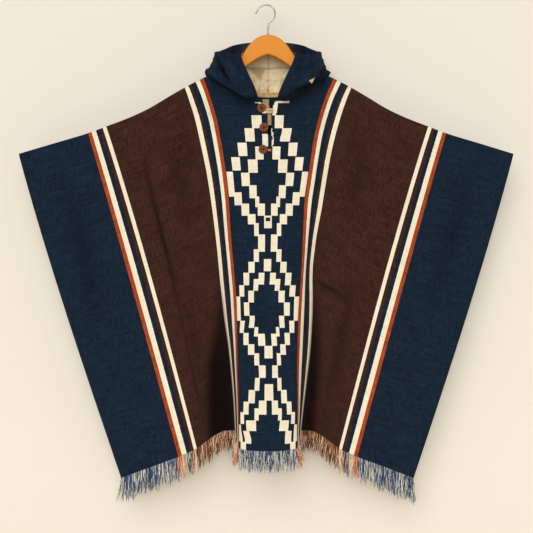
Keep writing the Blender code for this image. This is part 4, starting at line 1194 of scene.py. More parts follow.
def make_hood_half(name, side):
    """Half of the hood: its wall, the top that closes it and the crown behind the arch."""
    stretches = hood_places()
    places = np.concatenate(stretches)
    valley, grids = hood_grids(hood_wall(places, side), *map(len, stretches[:2]))
    grids = [placed(grid + (SEAM / 2, 0.0, 0.0), side) for grid in grids]
    grids[0], wall_shade = fold_wall(grids[0], places, side)
    # Painted shade in the top's valley, and none on the crown.
    dip = np.linspace(0.0, 1.0, CROWN_ROWS + 1)[:, None]
    dip = 4 * dip * (1 - dip) * ease((valley - VALLEY_DARK[0]) / VALLEY_DARK[1])
    shades = [wall_shade, HOOD_PAINTED_SHADE["valley"] * np.sqrt(dip), np.zeros(grids[2].shape[:2])]
    firsts = np.cumsum([0] + [shade.size for shade in shades])
    quads = np.concatenate([grid_quads(grid, first) for grid, first in zip(grids, firsts)])
    points = np.concatenate([grid.reshape(-1, 3) for grid in grids])
    in_front = (points[:, 1] < 0) * (side > 0)
    uv = np.concatenate([grid_uv(grid, 1).reshape(-1, 2) for grid in grids])
    piece = new_piece(name, points, quads, uv,
                      {"shade": np.concatenate([shade.ravel() for shade in shades]),
                       "peeping": inside_corners(points, PEEP_CORNERS, PEEP_EDGE) * in_front,
                       "painted_sag_shade": inside_corners(points, SAG_SHADE_CORNERS, SAG_SHADE_EDGE)})
    close_up(piece, (side * 0.09, -0.05, -0.17), (0, -1, 0))
    thicken(piece, HOOD_WALL, inside_material=1, even=False)
    return report(piece)


hood_left = make_hood_half("hood_half_left", -1)
hood_right = make_hood_half("hood_half_right", 1)


# %% The hood's two faces
LINING = dye(242, 220, 174)
LINING_STAIN_AND_SHADE = dye(168, 130, 76)
LINING_PALE = dye(254, 242, 212)
LINING_SEAM = 0.0018
THREAD_DARK = dye(40, 30, 22)
STITCHES = ((0.0036, -0.2096), (0.0036, -0.2156))


def plain_weave(name, colour, shade_depth=0.60):
    """One dye with slubs both ways, for cloth with no stripes."""
    look = new_look(name, **WOVEN, **BRUSHED)
    threads = on_threads(look)
    slubs, height, _ = thread_marks(look, threads)
    patches = spread(look, noise(look, threads, 34.0, 4.0, 0.6), 0.3, 0.7, 0.58, 1.12)
    shade = plus(look, times(look, slubs, shade_depth), patches)
    bright = shaded(look, dimmed(look, colour, shade))
    return finish_look(look, mixed(look, carried(look, "peeping"), bright, LINING_PALE), height,
                       0.0005, 0.5)


def lining_weave():
    """Undyed cloth: stained cream, paler above with painted light, a wavy stitched band, a painted fold
    shade, a seam.
    """
    look = new_look("hood_lining", **WOVEN)
    place = in_block(look)
    axes = add(look, "SeparateXYZ", Vector=place)
    stains = spread(look, noise(look, place, 55.0, 5.0, 0.62), 0.40, 0.66)
    clouds = spread(look, noise(look, place, 130.0, 4.0, 0.6), 0.42, 0.64)
    wave = times(look, noise(look, place, 42.0, 3.0), BAND_WAVE)
    from_band = minus(look, plus(look, axes.outputs[2], wave), BAND_AT + BAND_WAVE / 2)
    on_band = size_of(look, from_band)
    aside = size_of(look, minus(look, axes.outputs[0], LINING_SEAM))
    # Over the cream go, one after another: how much of each dye, and the dye.
    over = [(times(look, stains, 0.60), LINING_STAIN_AND_SHADE),
            (times(look, clouds, 0.60), LINING_PALE),
            # Painted light: from a little below the band upwards, the cloth is paler.
            (spread(look, from_band, -0.034, -0.006, 0.0, 0.40), LINING_PALE),
            # Above the band's line the cloth is a little darker.
            (spread(look, from_band, -0.003, 0.003, 0.0, 0.15), LINING_STAIN_AND_SHADE),
            # Painted shade: the patch where a fold would sag is darker, though the surface has no such
            # fold.
            (times(look, carried(look, "painted_sag_shade"), 0.70), LINING_STAIN_AND_SHADE),
            (spread(look, on_band, *BAND_SEAM, 0.38, 0.0), THREAD_DARK),
            (spread(look, aside, 0.0010, 0.0024, 0.35, 0.0), LINING_PALE)]
    in_plane = add(look, "CombineXYZ", X=axes.outputs[0], Z=axes.outputs[2]).outputs[0]
    for x, z in STITCHES:
        away = add(look, "VectorMath", {"operation": "DISTANCE"})
        feed(look, away.inputs[0], in_plane)
        away.inputs[1].default_value = (x, 0.0, z)
        over.append((spread(look, away.outputs["Value"], 0.0012, 0.0024, 0.95, 0.0), THREAD_DARK))
    colour = LINING
    for amount, brought in over:
        colour = mixed(look, amount, colour, brought)
    return finish_look(look, colour, noise(look, place, 900.0, 3.0), 0.0006, 0.5)


navy_weave = plain_weave("hood_navy", NAVY)
lining = lining_weave()
dress((hood_left, hood_right), navy_weave, lining)
print("the hood is navy outside and undyed inside")

# %% [markdown]
# ## Tape, facing, buttons and loops
#
# The small things tell how large the garment is, so they get real profiles. The tape and the facing
# are strips laid on the cloth behind them. A button is turned and then carved: its height is a
# function of the radius and of the angle. A loop is a two-ply cord carried along a path, and its
# plies come from a radius that turns as it goes.

# %% Strips of pale cloth
TAPE_HEIGHT = 0.013
TAPE_HALF_LENGTH = 0.085
TAPE_WALL = 0.0010
TAPE_ROWS = 7
FACING_WALL = 0.0012
FACING_TOP = -0.2430
FACING_END = -0.3090
FACING_HIDDEN = 0.010
FACING_COLUMNS = 9
# Heights along the slit, and how far the facing shows past its edge there.
FACING_SHOWN = ((-0.2780, -0.2620, -0.2430), (0.0103, 0.0140, 0.0165))
TAPE_WAVE = (0.06, 60)    # the tape's edge waves by this part of its height, this often
STRIP_STEPS = 48
PALE_SLUBS = 0.30


def front_surface(x, z):
    """Depth of the front's outer face near the centre line, with x counted from that line."""
    down = panel_fall(z)
    part = limited(np.abs(x) / line_x(np.full_like(down, PANEL), down))
    return -cloth_depth(True, part * PANEL, down)


def front_y(x, z):
    """The same at one place, as a plain number."""
    return float(front_surface(np.array([x]), np.array([z]))[0])


def strip(name, grid, near, outwards, wall):
    """A strip of cloth from a grid of points, with UVs in metres along both directions."""
    piece = new_piece(name, grid, grid_quads(grid), grid_uv(grid))
    close_up(piece, near, outwards)
    thicken(piece, wall)
    return report(piece)


def make_tape():
    """The tape inside the back of the neck: the neck seam's own line, lifted row by row."""
    places = 0.5 + np.arccos(np.linspace(0.0, TAPE_HALF_LENGTH / LINES[0, 1], STRIP_STEPS)) / math.pi
    base = neck_seam(places, 1)
    heights = np.linspace(0.0, TAPE_HEIGHT, TAPE_ROWS)[:, None]
    grid = np.repeat(base[None], len(heights), axis=0)
    grid[..., 1] -= HOOD_WALL + 2 * SEAM
    grid[..., 2] += heights * (1 - TAPE_WAVE[0] * np.sin(TAPE_WAVE[1] * base[:, 0]) ** 2)
    both = np.concatenate((grid[:, ::-1] * (-1, 1, 1), grid[:, 1:]), axis=1)
    both[..., 0] += MIDDLE_SHIFT
    return strip("neck_binding", both[::-1], (0, 0, -0.22), (0, 1, 0), TAPE_WALL)


def make_facing():
    """The strip behind the slit's left edge: it follows that edge and the front's own depth."""
    z = np.linspace(FACING_TOP, FACING_END, STRIP_STEPS)[:, None]
    across = np.linspace(0.0, 1.0, FACING_COLUMNS)
    hidden_edge = -read(SLIT, 1, z) - FACING_HIDDEN
    x = hidden_edge + (FACING_HIDDEN + np.interp(z, *FACING_SHOWN)) * across
    z = np.broadcast_to(z, x.shape)
    grid = np.stack((x + MIDDLE_SHIFT, front_surface(x, z) + WALL + 2 * SEAM, z), axis=-1)
    return strip("slit_binding", grid, (0, -0.03, -0.28), (0, -1, 0), FACING_WALL)


tape = make_tape()
facing = make_facing()
dress([tape], plain_weave("binding_weave", dye(222, 186, 122), PALE_SLUBS))
dress([facing], plain_weave("facing_weave", dye(190, 160, 112), PALE_SLUBS))

# %% [markdown]
# ### Carved buttons
#
# Each button is a disc cut from a branch, with petals carved round a ring and two holes. The profile is
# turned like on a lathe: radius and height run along one direction of the grid and the angle along the
# other. The carving only adds to the height of the top face, and the colour follows the height: painted
# shade in the hollows and the holes, painted light on the ridges.

# %% Buttons
BUTTON_RADIUS = 0.0115
BUTTON_THICKNESS = 0.0042
BUTTONS = {"button_1": (-0.0165, -0.2651), "button_2": (-0.0108, -0.3150),
           "button_3": (-0.0128, -0.3710)}
# Half profile from the middle of the back round the edge: radius and height as parts of the whole.
BUTTON_PROFILE = np.array([(0.00, 0.00), (0.60, 0.00), (0.88, 0.02), (0.97, 0.18), (1.00, 0.45),
                           (0.98, 0.75), (0.92, 0.93)])
BUTTON_ANGLES = 72
TOP_RINGS = 26
PETALS = 7
CARVING = 0.0010
SWIRL_SHARE = 0.8         # the swirl in the middle is carved this much as high as the petals
BUTTON_GAP = 2.5 * SEAM   # between a button's back and the cloth
# Heights of the top as parts of the thickness: its flat, the rim's rise, the groove, the dish and
# the rounded edge.
TOP_LEVEL, RIM_RISE, GROOVE_DEEP, DISH, EDGE_LEVEL = 0.86, 0.14, 0.16, 0.30, 0.93
HOLE_OFFSET = 0.0026
HOLE_WIDTH = 0.0011
HOLE_DEPTH = 0.0013
# Heights, as parts of the thickness, of the darkest painted shade and the palest painted light, and
# the side's paleness.
HOLLOW_AT, RIDGE_AT, SIDE_RAISED = 0.62, 1.06, 0.35
# Forms of the top as bells over the radius, in parts of it: middle and half width.
RIM, GROOVE, PETAL_RING, SWIRL = (0.86, 0.07), (0.70, 0.05), (0.54, 0.17), (0.22, 0.12)
DISH_AT = (0.0, 0.24)
EDGE_FROM, EDGE_SOFT = 0.95, 0.06
TURN = 1.9                # each button is turned by this much from the one before


def button_height(radius, angle, turn):
    """Height of the carved top: a raised rim, a groove, a ring of petals, a dish and two wells."""
    part = radius / BUTTON_RADIUS
    petals = np.cos(PETALS * angle + 3.0 * part + turn) * bell(part, *PETAL_RING)
    swirl = np.cos(2 * angle - 6 * part + turn) * bell(part, *SWIRL)
    height = (TOP_LEVEL + RIM_RISE * bell(part, *RIM) - GROOVE_DEEP * bell(part, *GROOVE)
              - DISH * bell(part, *DISH_AT))
    x, y = radius * np.cos(angle), radius * np.sin(angle)
    wells = sum(np.exp(-((x - middle) ** 2 + y ** 2) ** 2 / HOLE_WIDTH ** 4)
                for middle in (-HOLE_OFFSET, HOLE_OFFSET))
    edge = ease((EDGE_FROM - part) / EDGE_SOFT)
    return (BUTTON_THICKNESS * height * edge + BUTTON_THICKNESS * EDGE_LEVEL * (1 - edge)
            + CARVING * (petals + SWIRL_SHARE * swirl) - HOLE_DEPTH * wells)


def make_button(name, x, z, turn):
    """A closed body: the profile turned about its axis, with the carved top, laid on the front."""
    part, height = BUTTON_PROFILE.T[..., None]
    angle = np.linspace(0.0, 2 * math.pi, BUTTON_ANGLES + 1)
    top_radius = np.linspace(part[-1], 0.0, TOP_RINGS) * BUTTON_RADIUS + 0 * angle
    top_height = button_height(top_radius, angle, turn)
    top_height[-1] = top_height[-1].mean()
    radius = np.concatenate((part * BUTTON_RADIUS + 0 * angle, top_radius[1:]))
    height = np.concatenate((height * BUTTON_THICKNESS + 0 * angle, top_height[1:]))
    # Painted shade and light: the lower a point of the top, the darker its wood is painted.
    raised = limited((height / BUTTON_THICKNESS - HOLLOW_AT) / (RIDGE_AT - HOLLOW_AT))
    raised[:len(part)] = SIDE_RAISED
    grid = np.stack((x + MIDDLE_SHIFT + radius * np.cos(angle), front_y(x, z) - BUTTON_GAP - height,
                     z + radius * np.sin(angle)), axis=-1)
    piece = new_piece(name + "_carved", grid, grid_quads(grid), on_points={"raised": raised})
    close_up(piece, (x + MIDDLE_SHIFT, -1, z), (0, -1, 0))
    return report(piece)


def carved_wood():
    """Red-brown wood with a fine grain: painted shade in the hollows, painted light on the ridges."""
    look = new_look("carved_wood", Roughness=0.60, Specular_IOR_Level=0.15)
    grain = noise(look, stretched(look, in_block(look), 1400.0, 1400.0, 260.0), 1.0, 4.0, 0.6)
    base = mixed(look, carried(look, "raised"), dye(40, 18, 13), dye(172, 102, 68))
    streaked = mixed(look, spread(look, grain, 0.35, 0.70, 0.0, 0.30), base, dye(104, 52, 30))
    return finish_look(look, streaked, grain, 0.0003, 0.6)


buttons = {name: make_button(name, x, z, TURN * number)
           for number, (name, (x, z)) in enumerate(BUTTONS.items())}
dress(buttons.values(), carved_wood())

# %% [markdown]
# ### Cord loops
#
# A cord is a section carried along a path. The path lies in the plane of the cloth, so its frame is
# easy: one side of the section points forwards and the other across the path. The radius swells
# twice round the section, and that swelling turns along the cord, which gives two plies.

# %% Tubes
def even_path(corners, step):
    """Points a fixed step apart on the line through some corners, by its length."""
    length = run_along(corners)
    at = np.linspace(0.0, length[-1], int(length[-1] / step))
    return np.stack([np.interp(at, length, axis) for axis in corners.T], axis=-1), at


def swept(path, radius, sides):
    """A closed tube along a path in a plane that faces forwards; radius may vary over the grid."""
    along = np.gradient(path, axis=0)
    along /= np.linalg.norm(along, axis=1)[:, None]
    forwards = np.array((0.0, -1.0, 0.0))
    across = np.cross(along, forwards)
    across /= np.linalg.norm(across, axis=1)[:, None]
    angle = np.linspace(0.0, 2 * math.pi, sides + 1)
    ring = across[:, None] * np.cos(angle)[:, None] + forwards * np.sin(angle)[:, None]
    body = path[:, None] + ring * radius[..., None]
    caps = np.repeat(path[[0, -1], None], sides + 1, axis=1)
    return np.concatenate((caps[:1], body, caps[1:]))


def make_tube(name, path, radius, sides):
    """A tube as a piece, with u round it and v along it."""
    grid = swept(path, radius, sides)
    rows, columns = grid.shape[:2]
    along = np.concatenate(([0.0], np.linspace(0.0, 1.0, rows - 2), [1.0]))
    uv = np.stack(np.meshgrid(np.linspace(0.0, 1.0, columns), along), axis=-1)
    piece = new_piece(name, grid, grid_quads(grid), uv)
    close_up(piece, path[len(path) // 2] + (0, -1, 0), (0, -1, 0))
    return report(piece)


print("a path of 10 mm in steps of 1 mm has", len(even_path(mm([(0, 0), (10, 0)]), 0.001)[0]), "points")


# %% Loops
# Button, height, how far the loop reaches from the button's middle, half its gap and its radius.
LOOPS = {"loop_1": ("button_1", -0.2730, 0.0280, 0.0034, 0.0029),
         "loop_3": ("button_3", -0.3728, 0.0190, 0.0014, 0.0014)}
LOOP_DYES = {"loop_1": ("pale_cord", dye(242, 214, 158), dye(190, 152, 98)),
             "loop_3": ("tan_cord", dye(238, 156, 70), dye(176, 100, 48))}
LOOP_CLEAR = 0.0015       # gap between a loop's bend and its button
PLY_LENGTH = 0.0060
PLY_SWELL = 0.16
CORD_SIDES = 14
CORD_STEP = 0.0006
BEND_POINTS = 24


def make_loop(name, row):
    """A cord that leaves the slit's right edge, turns behind its button and comes back."""
    button, height, reach, half_gap, radius = row
    start = BUTTONS[button][0] + BUTTON_RADIUS + LOOP_CLEAR
    end = start + reach - BUTTON_RADIUS
    turn = np.linspace(math.pi / 2, -math.pi / 2, BEND_POINTS)
    bend = np.stack((start + half_gap * (1 - np.cos(turn)), half_gap * np.sin(turn)), axis=-1)
    corners = np.concatenate(([(end, half_gap)], bend, [(end, -half_gap)]))
    flat, at = even_path(corners, CORD_STEP)
    y = np.full(len(flat), front_y(0.0, height) - radius - SEAM)
    path = np.stack((flat[:, 0] + MIDDLE_SHIFT, y, height + flat[:, 1]), axis=-1)
    angle = np.linspace(0.0, 2 * math.pi, CORD_SIDES + 1)
    swell = 1 + PLY_SWELL * np.cos(2 * angle[None] - 2 * math.pi * at[:, None] / PLY_LENGTH)
    return make_tube(name + "_cord", path, radius * swell, CORD_SIDES)


def cord_look(name, colour, dark):
    """Twisted yarn: a little darker in fine bands that wind round the cord."""
    look = new_look(name, Roughness=0.9, Specular_IOR_Level=0.2, Sheen_Weight=0.15)
    fibres = noise(look, stretched(look, on_threads(look), 24.0, 60.0), 1.0, 3.0)
    twisted = mixed(look, spread(look, fibres, 0.35, 0.7), dark, colour)
    return finish_look(look, twisted, fibres, 0.0003, 0.5)


loops = {name: make_loop(name, row) for name, row in LOOPS.items()}
for name, loop in loops.items():
    dress([loop], cord_look(*LOOP_DYES[name]))

# %% [markdown]
# ## Fringes
#
# At each hem the warp threads are left long and rubbed into soft strands. They hang in small locks:
# neighbouring strands lean towards a common tip. Each strand is a thin tapered tube with four sides,
# and all strands of one hem are worked out together as one array of strands, rings and corners. Two
# numbers go with every strand: its distance from the centre line, which decides the dye, and a chance
# number that mixes pale and dark ends among the dyed ones.

# %% Sizes of the fringes
FRINGE_LENGTH = 0.058
WING_LONGER = 0.28        # strands grow longer by this much towards the sides
STRAND_RADIUS = 0.00080
STRAND_RINGS = 9
LOCK_STRANDS = 4
LOCK_PULL = 0.62          # how far a strand's tip is drawn to its lock's middle
LOCK_LEAN = 0.0045
STRAND_WAVE = 0.0014
STRAND_SPREAD = 0.0022    # how far tips stand in front of each other
SHORTEST = 0.70
TUCKED = 0.0016           # roots start this far up inside the cloth
SPLAY = 0.013             # the last strands at the side edges hang outwards
SPLAY_REACH = 0.030
FOLD_SPLAY = 0.012        # those beside the box fold are pushed out by it
FOLD_SPLAY_AT = (0.122, 0.134, 0.150, 0.168)    # from and to, counted from the centre line
ROOT_JITTER = 0.35        # how far a root strays, as a part of the distance between roots
STRAND_LENGTHS = (0.88, 1.04)     # how strands of one lock differ in length
STRAND_WIDTHS = (0.75, 1.2)
TIP_STRAY = 0.0012
ROOT_BEND, ROOT_RUN = 2.5, 0.006  # a strand leaves along the cloth: how soon it turns, how far it goes
TIP_TAPER = 0.55
WAVE_TURNS = (7.0, 6.0)   # sideways and forwards, in radians from root to tip
TIP_WAVE = 0.6            # the wave left at the tip, as a part of the strand's whole wave
LATE_LEAN = 1.3           # above 1, a strand leans more near its tip than near its root
STRAND_SIDES = 4
STRANDS = {True: 1650, False: 1000}       # of the front and of the back
SEEDS = {True: 11, False: 12}
print(sum(STRANDS.values()), "strands in locks of", LOCK_STRANDS)


# %% Roots of the strands
def hem_line(front_side):
    """The hem from left to right: its points, the way down off it and the flat cloth's distance."""
    cloth, falls = cloth_columns(front_side), row_falls(front_side)
    left, right = (half_cloth(front_side, side, cloth, falls)[0] for side in (-1, 1))
    last, above = (np.concatenate((left[row][::-1], right[row][1:])) for row in (-1, -4))
    down = last - above
    down /= np.linalg.norm(down, axis=1)[:, None]
    last[:, 1] += WALL / 2 * (1 if front_side else -1)
    return last, down, np.concatenate((-cloth[::-1], cloth[1:]))


print("the front's hem is", round(float(run_along(hem_line(True)[0])[-1]), 3), "m long")


# %% Strands
def strand_lines(chance, front_side, count):
    """Middle lines of all strands, which curve from the hem down to their tips, and their cloth."""
    hem, down, across = hem_line(front_side)
    length = run_along(hem)
    at = np.arange(count) + 0.5 + chance.uniform(-ROOT_JITTER, ROOT_JITTER, count)
    at = at / count * length[-1]
    root, away = (np.stack([np.interp(at, length, axis) for axis in of.T], axis=-1)
                  for of in (hem, down))
    strand_cloth = np.interp(at, length, across)

    lock = np.arange(count) // LOCK_STRANDS
    locks = lock[-1] + 1
    lock_middle = np.array([root[lock == number, 0].mean() for number in range(locks)])[lock]
    lean = chance.uniform(-1.0, 1.0, locks)[lock] * LOCK_LEAN
    long = FRINGE_LENGTH * (chance.uniform(SHORTEST, 1.0, locks)[lock]
                            * chance.uniform(*STRAND_LENGTHS, count))
    long *= 1 + WING_LONGER * (strand_cloth / CLOTH_EDGE) ** 2
    from_middle = np.abs(strand_cloth)
    edge = limited((from_middle - (CLOTH_EDGE - SPLAY_REACH)) / SPLAY_REACH)
    tip_x = (lock_middle - root[:, 0]) * LOCK_PULL + lean + chance.normal(0.0, TIP_STRAY, count)
    beside_fold = np.interp(from_middle, FOLD_SPLAY_AT, (0, 1, 1, 0))
    tip_x += np.sign(strand_cloth) * (SPLAY * edge ** 1.5 + FOLD_SPLAY * beside_fold)
    tip_y = chance.uniform(-1.0, 1.0, count) * STRAND_SPREAD

    t = np.linspace(0.0, 1.0, STRAND_RINGS)[None]
    slide = ROOT_RUN * (1 - np.exp(-ROOT_BEND * t)) / (1 - math.exp(-ROOT_BEND))
    middle = (root - away * TUCKED)[:, None] + away[:, None] * (1.0, 1.0, 0.0) * slide[..., None]
    phase = chance.uniform(0, 2 * math.pi, (2, count))[..., None]
    wave = STRAND_WAVE * (np.sin(math.pi * t) + TIP_WAVE * t)
    middle[..., 0] += tip_x[:, None] * t ** LATE_LEAN + wave * np.sin(WAVE_TURNS[0] * t + phase[0])
    middle[..., 1] += tip_y[:, None] * t + wave * np.cos(WAVE_TURNS[1] * t + phase[1])
    middle[..., 2] -= long[:, None] * t
    return middle, strand_cloth


def make_fringe(name, front_side):
    """All strands of one hem: thin tubes round their middle lines, tapered towards their tips."""
    count = STRANDS[front_side]
    chance = np.random.default_rng(SEEDS[front_side])
    middle, strand_cloth = strand_lines(chance, front_side, count)
    t = np.linspace(0.0, 1.0, STRAND_RINGS)
    radius = STRAND_RADIUS * chance.uniform(*STRAND_WIDTHS, count)[:, None] * (1 - TIP_TAPER * t ** 1.5)
    corner = np.arange(STRAND_SIDES) * math.pi / 2 + chance.uniform(0, math.pi / 2, count)[:, None]
    ring = np.stack((np.cos(corner), np.sin(corner), np.zeros_like(corner)), axis=-1)
    points = middle[:, :, None] + ring[:, None] * radius[..., None, None]

    numbers = np.arange(points[..., 0].size).reshape(points.shape[:3])
    turned = np.roll(numbers, -1, axis=2)
    walls = np.stack((numbers[:, :-1], numbers[:, 1:], turned[:, 1:], turned[:, :-1]), axis=-1)
    quads = np.concatenate((walls.reshape(-1, 4), numbers[:, 0], numbers[:, -1, ::-1]))
    per_strand = STRAND_RINGS * STRAND_SIDES
    mixing = chance.uniform(0, 1, count)
    piece = new_piece(name, points, quads, on_points={
        "from_centre": np.repeat(np.abs(strand_cloth), per_strand),
        "mixing": np.repeat(mixing, per_strand),
        "to_tip": np.broadcast_to(t[:, None], numbers.shape)})
    return report(piece)


front_fringe = make_fringe("front_fringe", True)
back_fringe = make_fringe("back_fringe", False)


# %% Dyes of the strands
# Where each stretch of fringe starts, then the dyes of its strands: common, pale and dark.
FRINGE_NAVY = (dye(68, 102, 142), dye(244, 236, 216), dye(28, 54, 84))
FRINGE_BROWN = (dye(152, 86, 54), dye(240, 204, 166), dye(80, 38, 24))
FRINGE_CREAM = (dye(238, 214, 176), dye(246, 232, 204), dye(206, 160, 116))
FRINGE_ORANGE = (dye(236, 112, 54), dye(246, 190, 150), dye(196, 84, 40))
FRINGE_DYES = ((0.000, FRINGE_NAVY), (0.128, FRINGE_ORANGE), (0.139, FRINGE_CREAM),
               (0.150, FRINGE_NAVY), (0.162, FRINGE_BROWN), (0.170, FRINGE_CREAM),
               (0.182, FRINGE_BROWN), (0.397, FRINGE_CREAM), (0.407, FRINGE_BROWN),
               (0.415, FRINGE_NAVY), (0.427, FRINGE_CREAM), (0.437, FRINGE_ORANGE),
               (0.450, FRINGE_NAVY))
PALE_SHARE = 0.67         # strands whose chance number is above this are pale
DARK_SHARE = 0.30         # and below this they are dark


def yarn_look():
    """Loose yarn: three ramps hold the common, pale and dark dyes, and chance picks one of them."""
    look = new_look("loose_yarn", Roughness=0.95, Specular_IOR_Level=0.12, Sheen_Weight=0.12)
    along_hem = calc(look, "DIVIDE", carried(look, "from_centre"), CLOTH_EDGE)
    starts, dyes = zip(*FRINGE_DYES)
    common, pale, dark = (stepped(look, along_hem, list(zip(starts, of_kind)))
                          for of_kind in zip(*dyes))
    mixing = carried(look, "mixing")
    colour = mixed(look, calc(look, "GREATER_THAN", mixing, PALE_SHARE), common, pale)
    colour = mixed(look, calc(look, "LESS_THAN", mixing, DARK_SHARE), colour, dark)
    fibres = noise(look, stretched(look, in_block(look), 900.0, 900.0, 160.0), 1.0, 3.0)
    # Painted shade: each strand is darker near its root, under the hem; the fibres vary at random.
    shade = times(look, spread(look, fibres, 0.3, 0.7, 0.72, 1.15),
                  spread(look, carried(look, "to_tip"), 0.0, 0.3, 0.72, 1.0))
    return finish_look(look, dimmed(look, colour, shade), fibres, 0.0003, 0.5)


dress((front_fringe, back_fringe), yarn_look())
print("yarn changes its dyes", len(FRINGE_DYES) - 1, "times from the centre to the side")

# %% [markdown]
# ## The hanger
#
# The hanger is cut from a flat board: an arch with two arms that end under the shoulder fold. Two
# curves give its upper and its lower edge. Between them runs a rounded section, made from a circle
# whose corners are pushed out with a power, and the section shrinks to nothing round each end.

# %% The wooden arch
WOOD_THICKNESS = 0.012
WOOD_UPPER = mm([(0, -74.2), (22, -79.5), (46.7, -99), (68.4, -130), (100, -158), (130, -182),
                 (154.9, -196.8), (180, -202.5), (204.8, -209.2), (213, -213.8)])
WOOD_LOWER = mm([(0, -124.2), (22, -133), (52, -152.3), (100, -183.5), (130, -206), (154.9, -219.5),
                 (204.8, -232), (210, -233.6)])
WOOD_STATIONS = 150
WOOD_SIDES = 40
WOOD_SQUARENESS = 0.30    # 1 would be an ellipse, 0 a rectangle
WOOD_END = 0.012
ARM_SLOPE = 0.72          # the grain falls this much along the arms
GRAIN_LONG = 0.12         # and changes this much more slowly along them


def rounded_section(sides, squareness):
    """A unit rounded square: the cosine and sine of an angle, each raised to a small power."""
    angle = np.linspace(0.0, 2 * math.pi, sides + 1)
    wave = np.stack((np.cos(angle), np.sin(angle)), axis=-1)
    return np.sign(wave) * np.abs(wave) ** squareness


def make_wood():
    """The board: at each station x the section spans the two edge curves and the thickness."""
    half_length = WOOD_UPPER[-1, 0]
    x = half_length * np.sin(np.linspace(-math.pi / 2, math.pi / 2, WOOD_STATIONS))[:, None]
    away = np.abs(x)
    upper = read(WOOD_UPPER, 1, away)
    lower = read(WOOD_LOWER, 1, np.minimum(away, WOOD_LOWER[-1, 0]))
    past = limited((away - half_length + WOOD_END) / WOOD_END)
    end = np.sqrt(1 - past ** 2)
    wide, tall = rounded_section(WOOD_SIDES, WOOD_SQUARENESS).T
    grid = np.stack((x + MIDDLE_SHIFT + 0 * wide, WOOD_THICKNESS / 2 * end ** 0.4 * wide,
                     (upper + lower) / 2 + (upper - lower) / 2 * end * tall), axis=-1)
    piece = new_piece("wooden_arch", grid, grid_quads(grid))
    close_up(piece, (MIDDLE_SHIFT, -0.01, -0.1), (0, -1, 0))
    return report(piece)


def varnished_wood():
    """Honey-coloured wood: long growth rings that follow the arms, pores and a thin varnish."""
    look = new_look("varnished_wood", Roughness=0.45, Specular_IOR_Level=0.12, Coat_Weight=0.04,
                    Coat_Roughness=0.25)
    axes = add(look, "SeparateXYZ", Vector=in_block(look))
    aside = size_of(look, minus(look, axes.outputs[0], MIDDLE_SHIFT))
    slope = plus(look, times(look, aside, ARM_SLOPE), axes.outputs[2])
    along = times(look, aside, GRAIN_LONG)
    grain_place = add(look, "CombineXYZ", X=along, Y=axes.outputs[1], Z=slope).outputs[0]
    rings = noise(look, stretched(look, grain_place, 60.0, 60.0, 260.0), 1.0, 4.0, 0.55)
    pores = noise(look, stretched(look, grain_place, 500.0, 900.0, 1500.0), 1.0, 2.0)
    honey = mixed(look, spread(look, rings, 0.25, 0.75), dye(226, 138, 26), dye(232, 145, 34))
    honey = mixed(look, spread(look, pores, 0.60, 0.78, 0.0, 0.30), honey, dye(176, 92, 28))
    return finish_look(look, honey, rings, 0.0002, 0.4)


wood = make_wood()
dress([wood], varnished_wood())

# %% [markdown]
# ### The wire hook
#
# A steel wire leaves the top of the arch, leans a little and turns more than half a round, open to
# the left. Its path is a straight shank and an arc, joined by a smooth curve, and then a straight
# tip that ends like a ball.

# %% The hook
HOOK_WIRE = 0.0019
HOOK_RADIUS = 0.0230
HOOK_START = -62.0        # the round starts and ends at these angles from the right, in degrees
HOOK_END = 150.0
HOOK_TIP = 0.0140         # length of the straight end
HOOK_SIDES = 20
HOOK_STEP = 0.0010
SHANK_POINTS = 60
ARC_POINTS = 90


def make_hook():
    """The wire's path: four points of the shank, an arc by its angle and a straight, rounded tip."""
    angle = np.radians(np.linspace(HOOK_START, HOOK_END, ARC_POINTS))
    centre = (0.0, HOOK_WIRE - HOOK_RADIUS)
    arc = centre + HOOK_RADIUS * np.stack((np.cos(angle), np.sin(angle)), axis=-1)
    tip_end = arc[-1] + HOOK_TIP * np.array((-math.sin(angle[-1]), math.cos(angle[-1])))
    foot = WOOD_UPPER[0, 1]
    shank = np.array([(MIDDLE_SHIFT, foot + SEAM), (MIDDLE_SHIFT, foot + 0.010),
                      (MIDDLE_SHIFT + 0.0006, foot + 0.020), arc[0] - (0.0045, 0.0045)])
    start = through(np.concatenate((shank, arc[:1])), SHANK_POINTS)
    corners = np.concatenate((start, arc[1:], [tip_end]))
    flat, at = even_path(corners, HOOK_STEP)
    path = np.stack((flat[:, 0], np.zeros(len(flat)), flat[:, 1]), axis=-1)
    left = at[-1] - at
    tip = np.sqrt(1 - limited(1 - left / HOOK_WIRE) ** 2)
    radius = HOOK_WIRE * np.repeat(tip[:, None], HOOK_SIDES + 1, axis=1)
    return make_tube("wire_hook", path, radius, HOOK_SIDES)


def drawn_steel():
    """Plated wire: bright, with faint lines drawn along it and a little tarnish."""
    look = new_look("drawn_steel", Metallic=1.0, Roughness=0.28)
    lines = noise(look, stretched(look, on_threads(look), 30.0, 6.0), 1.0, 3.0)
    tarnish = spread(look, noise(look, in_block(look), 160.0, 3.0), 0.4, 0.7, 0.0, 0.6)
    colour = mixed(look, tarnish, dye(168, 163, 157), dye(88, 82, 76))
    return finish_look(look, colour, lines, 0.0001, 0.3, spread(look, lines, 0.3, 0.7, 0.22, 0.40))


hook = make_hook()
dress([hook], drawn_steel())

# %% [markdown]
# ## Studio
#
# A pale wall close behind the garment catches a soft shadow low on the right, as a big lamp at the
# upper left would throw it. The wall can't be seen from behind, so the back can be looked at as
# well. The camera stands four metres away, level with the middle of the cloth.

# %% Camera and lamps
CAMERA_AT = (0.0010, -EYE_DISTANCE, EYE_HEIGHT)
VIEW_WIDTH = 1.3645       # what the square view shows at the hanger, in metres
SENSOR = 36.0
WALL_AT = 0.105
FLOOR_AT = -1.75
STAGE_WIDTH = 8.0
PALE = dye(242, 234, 219)
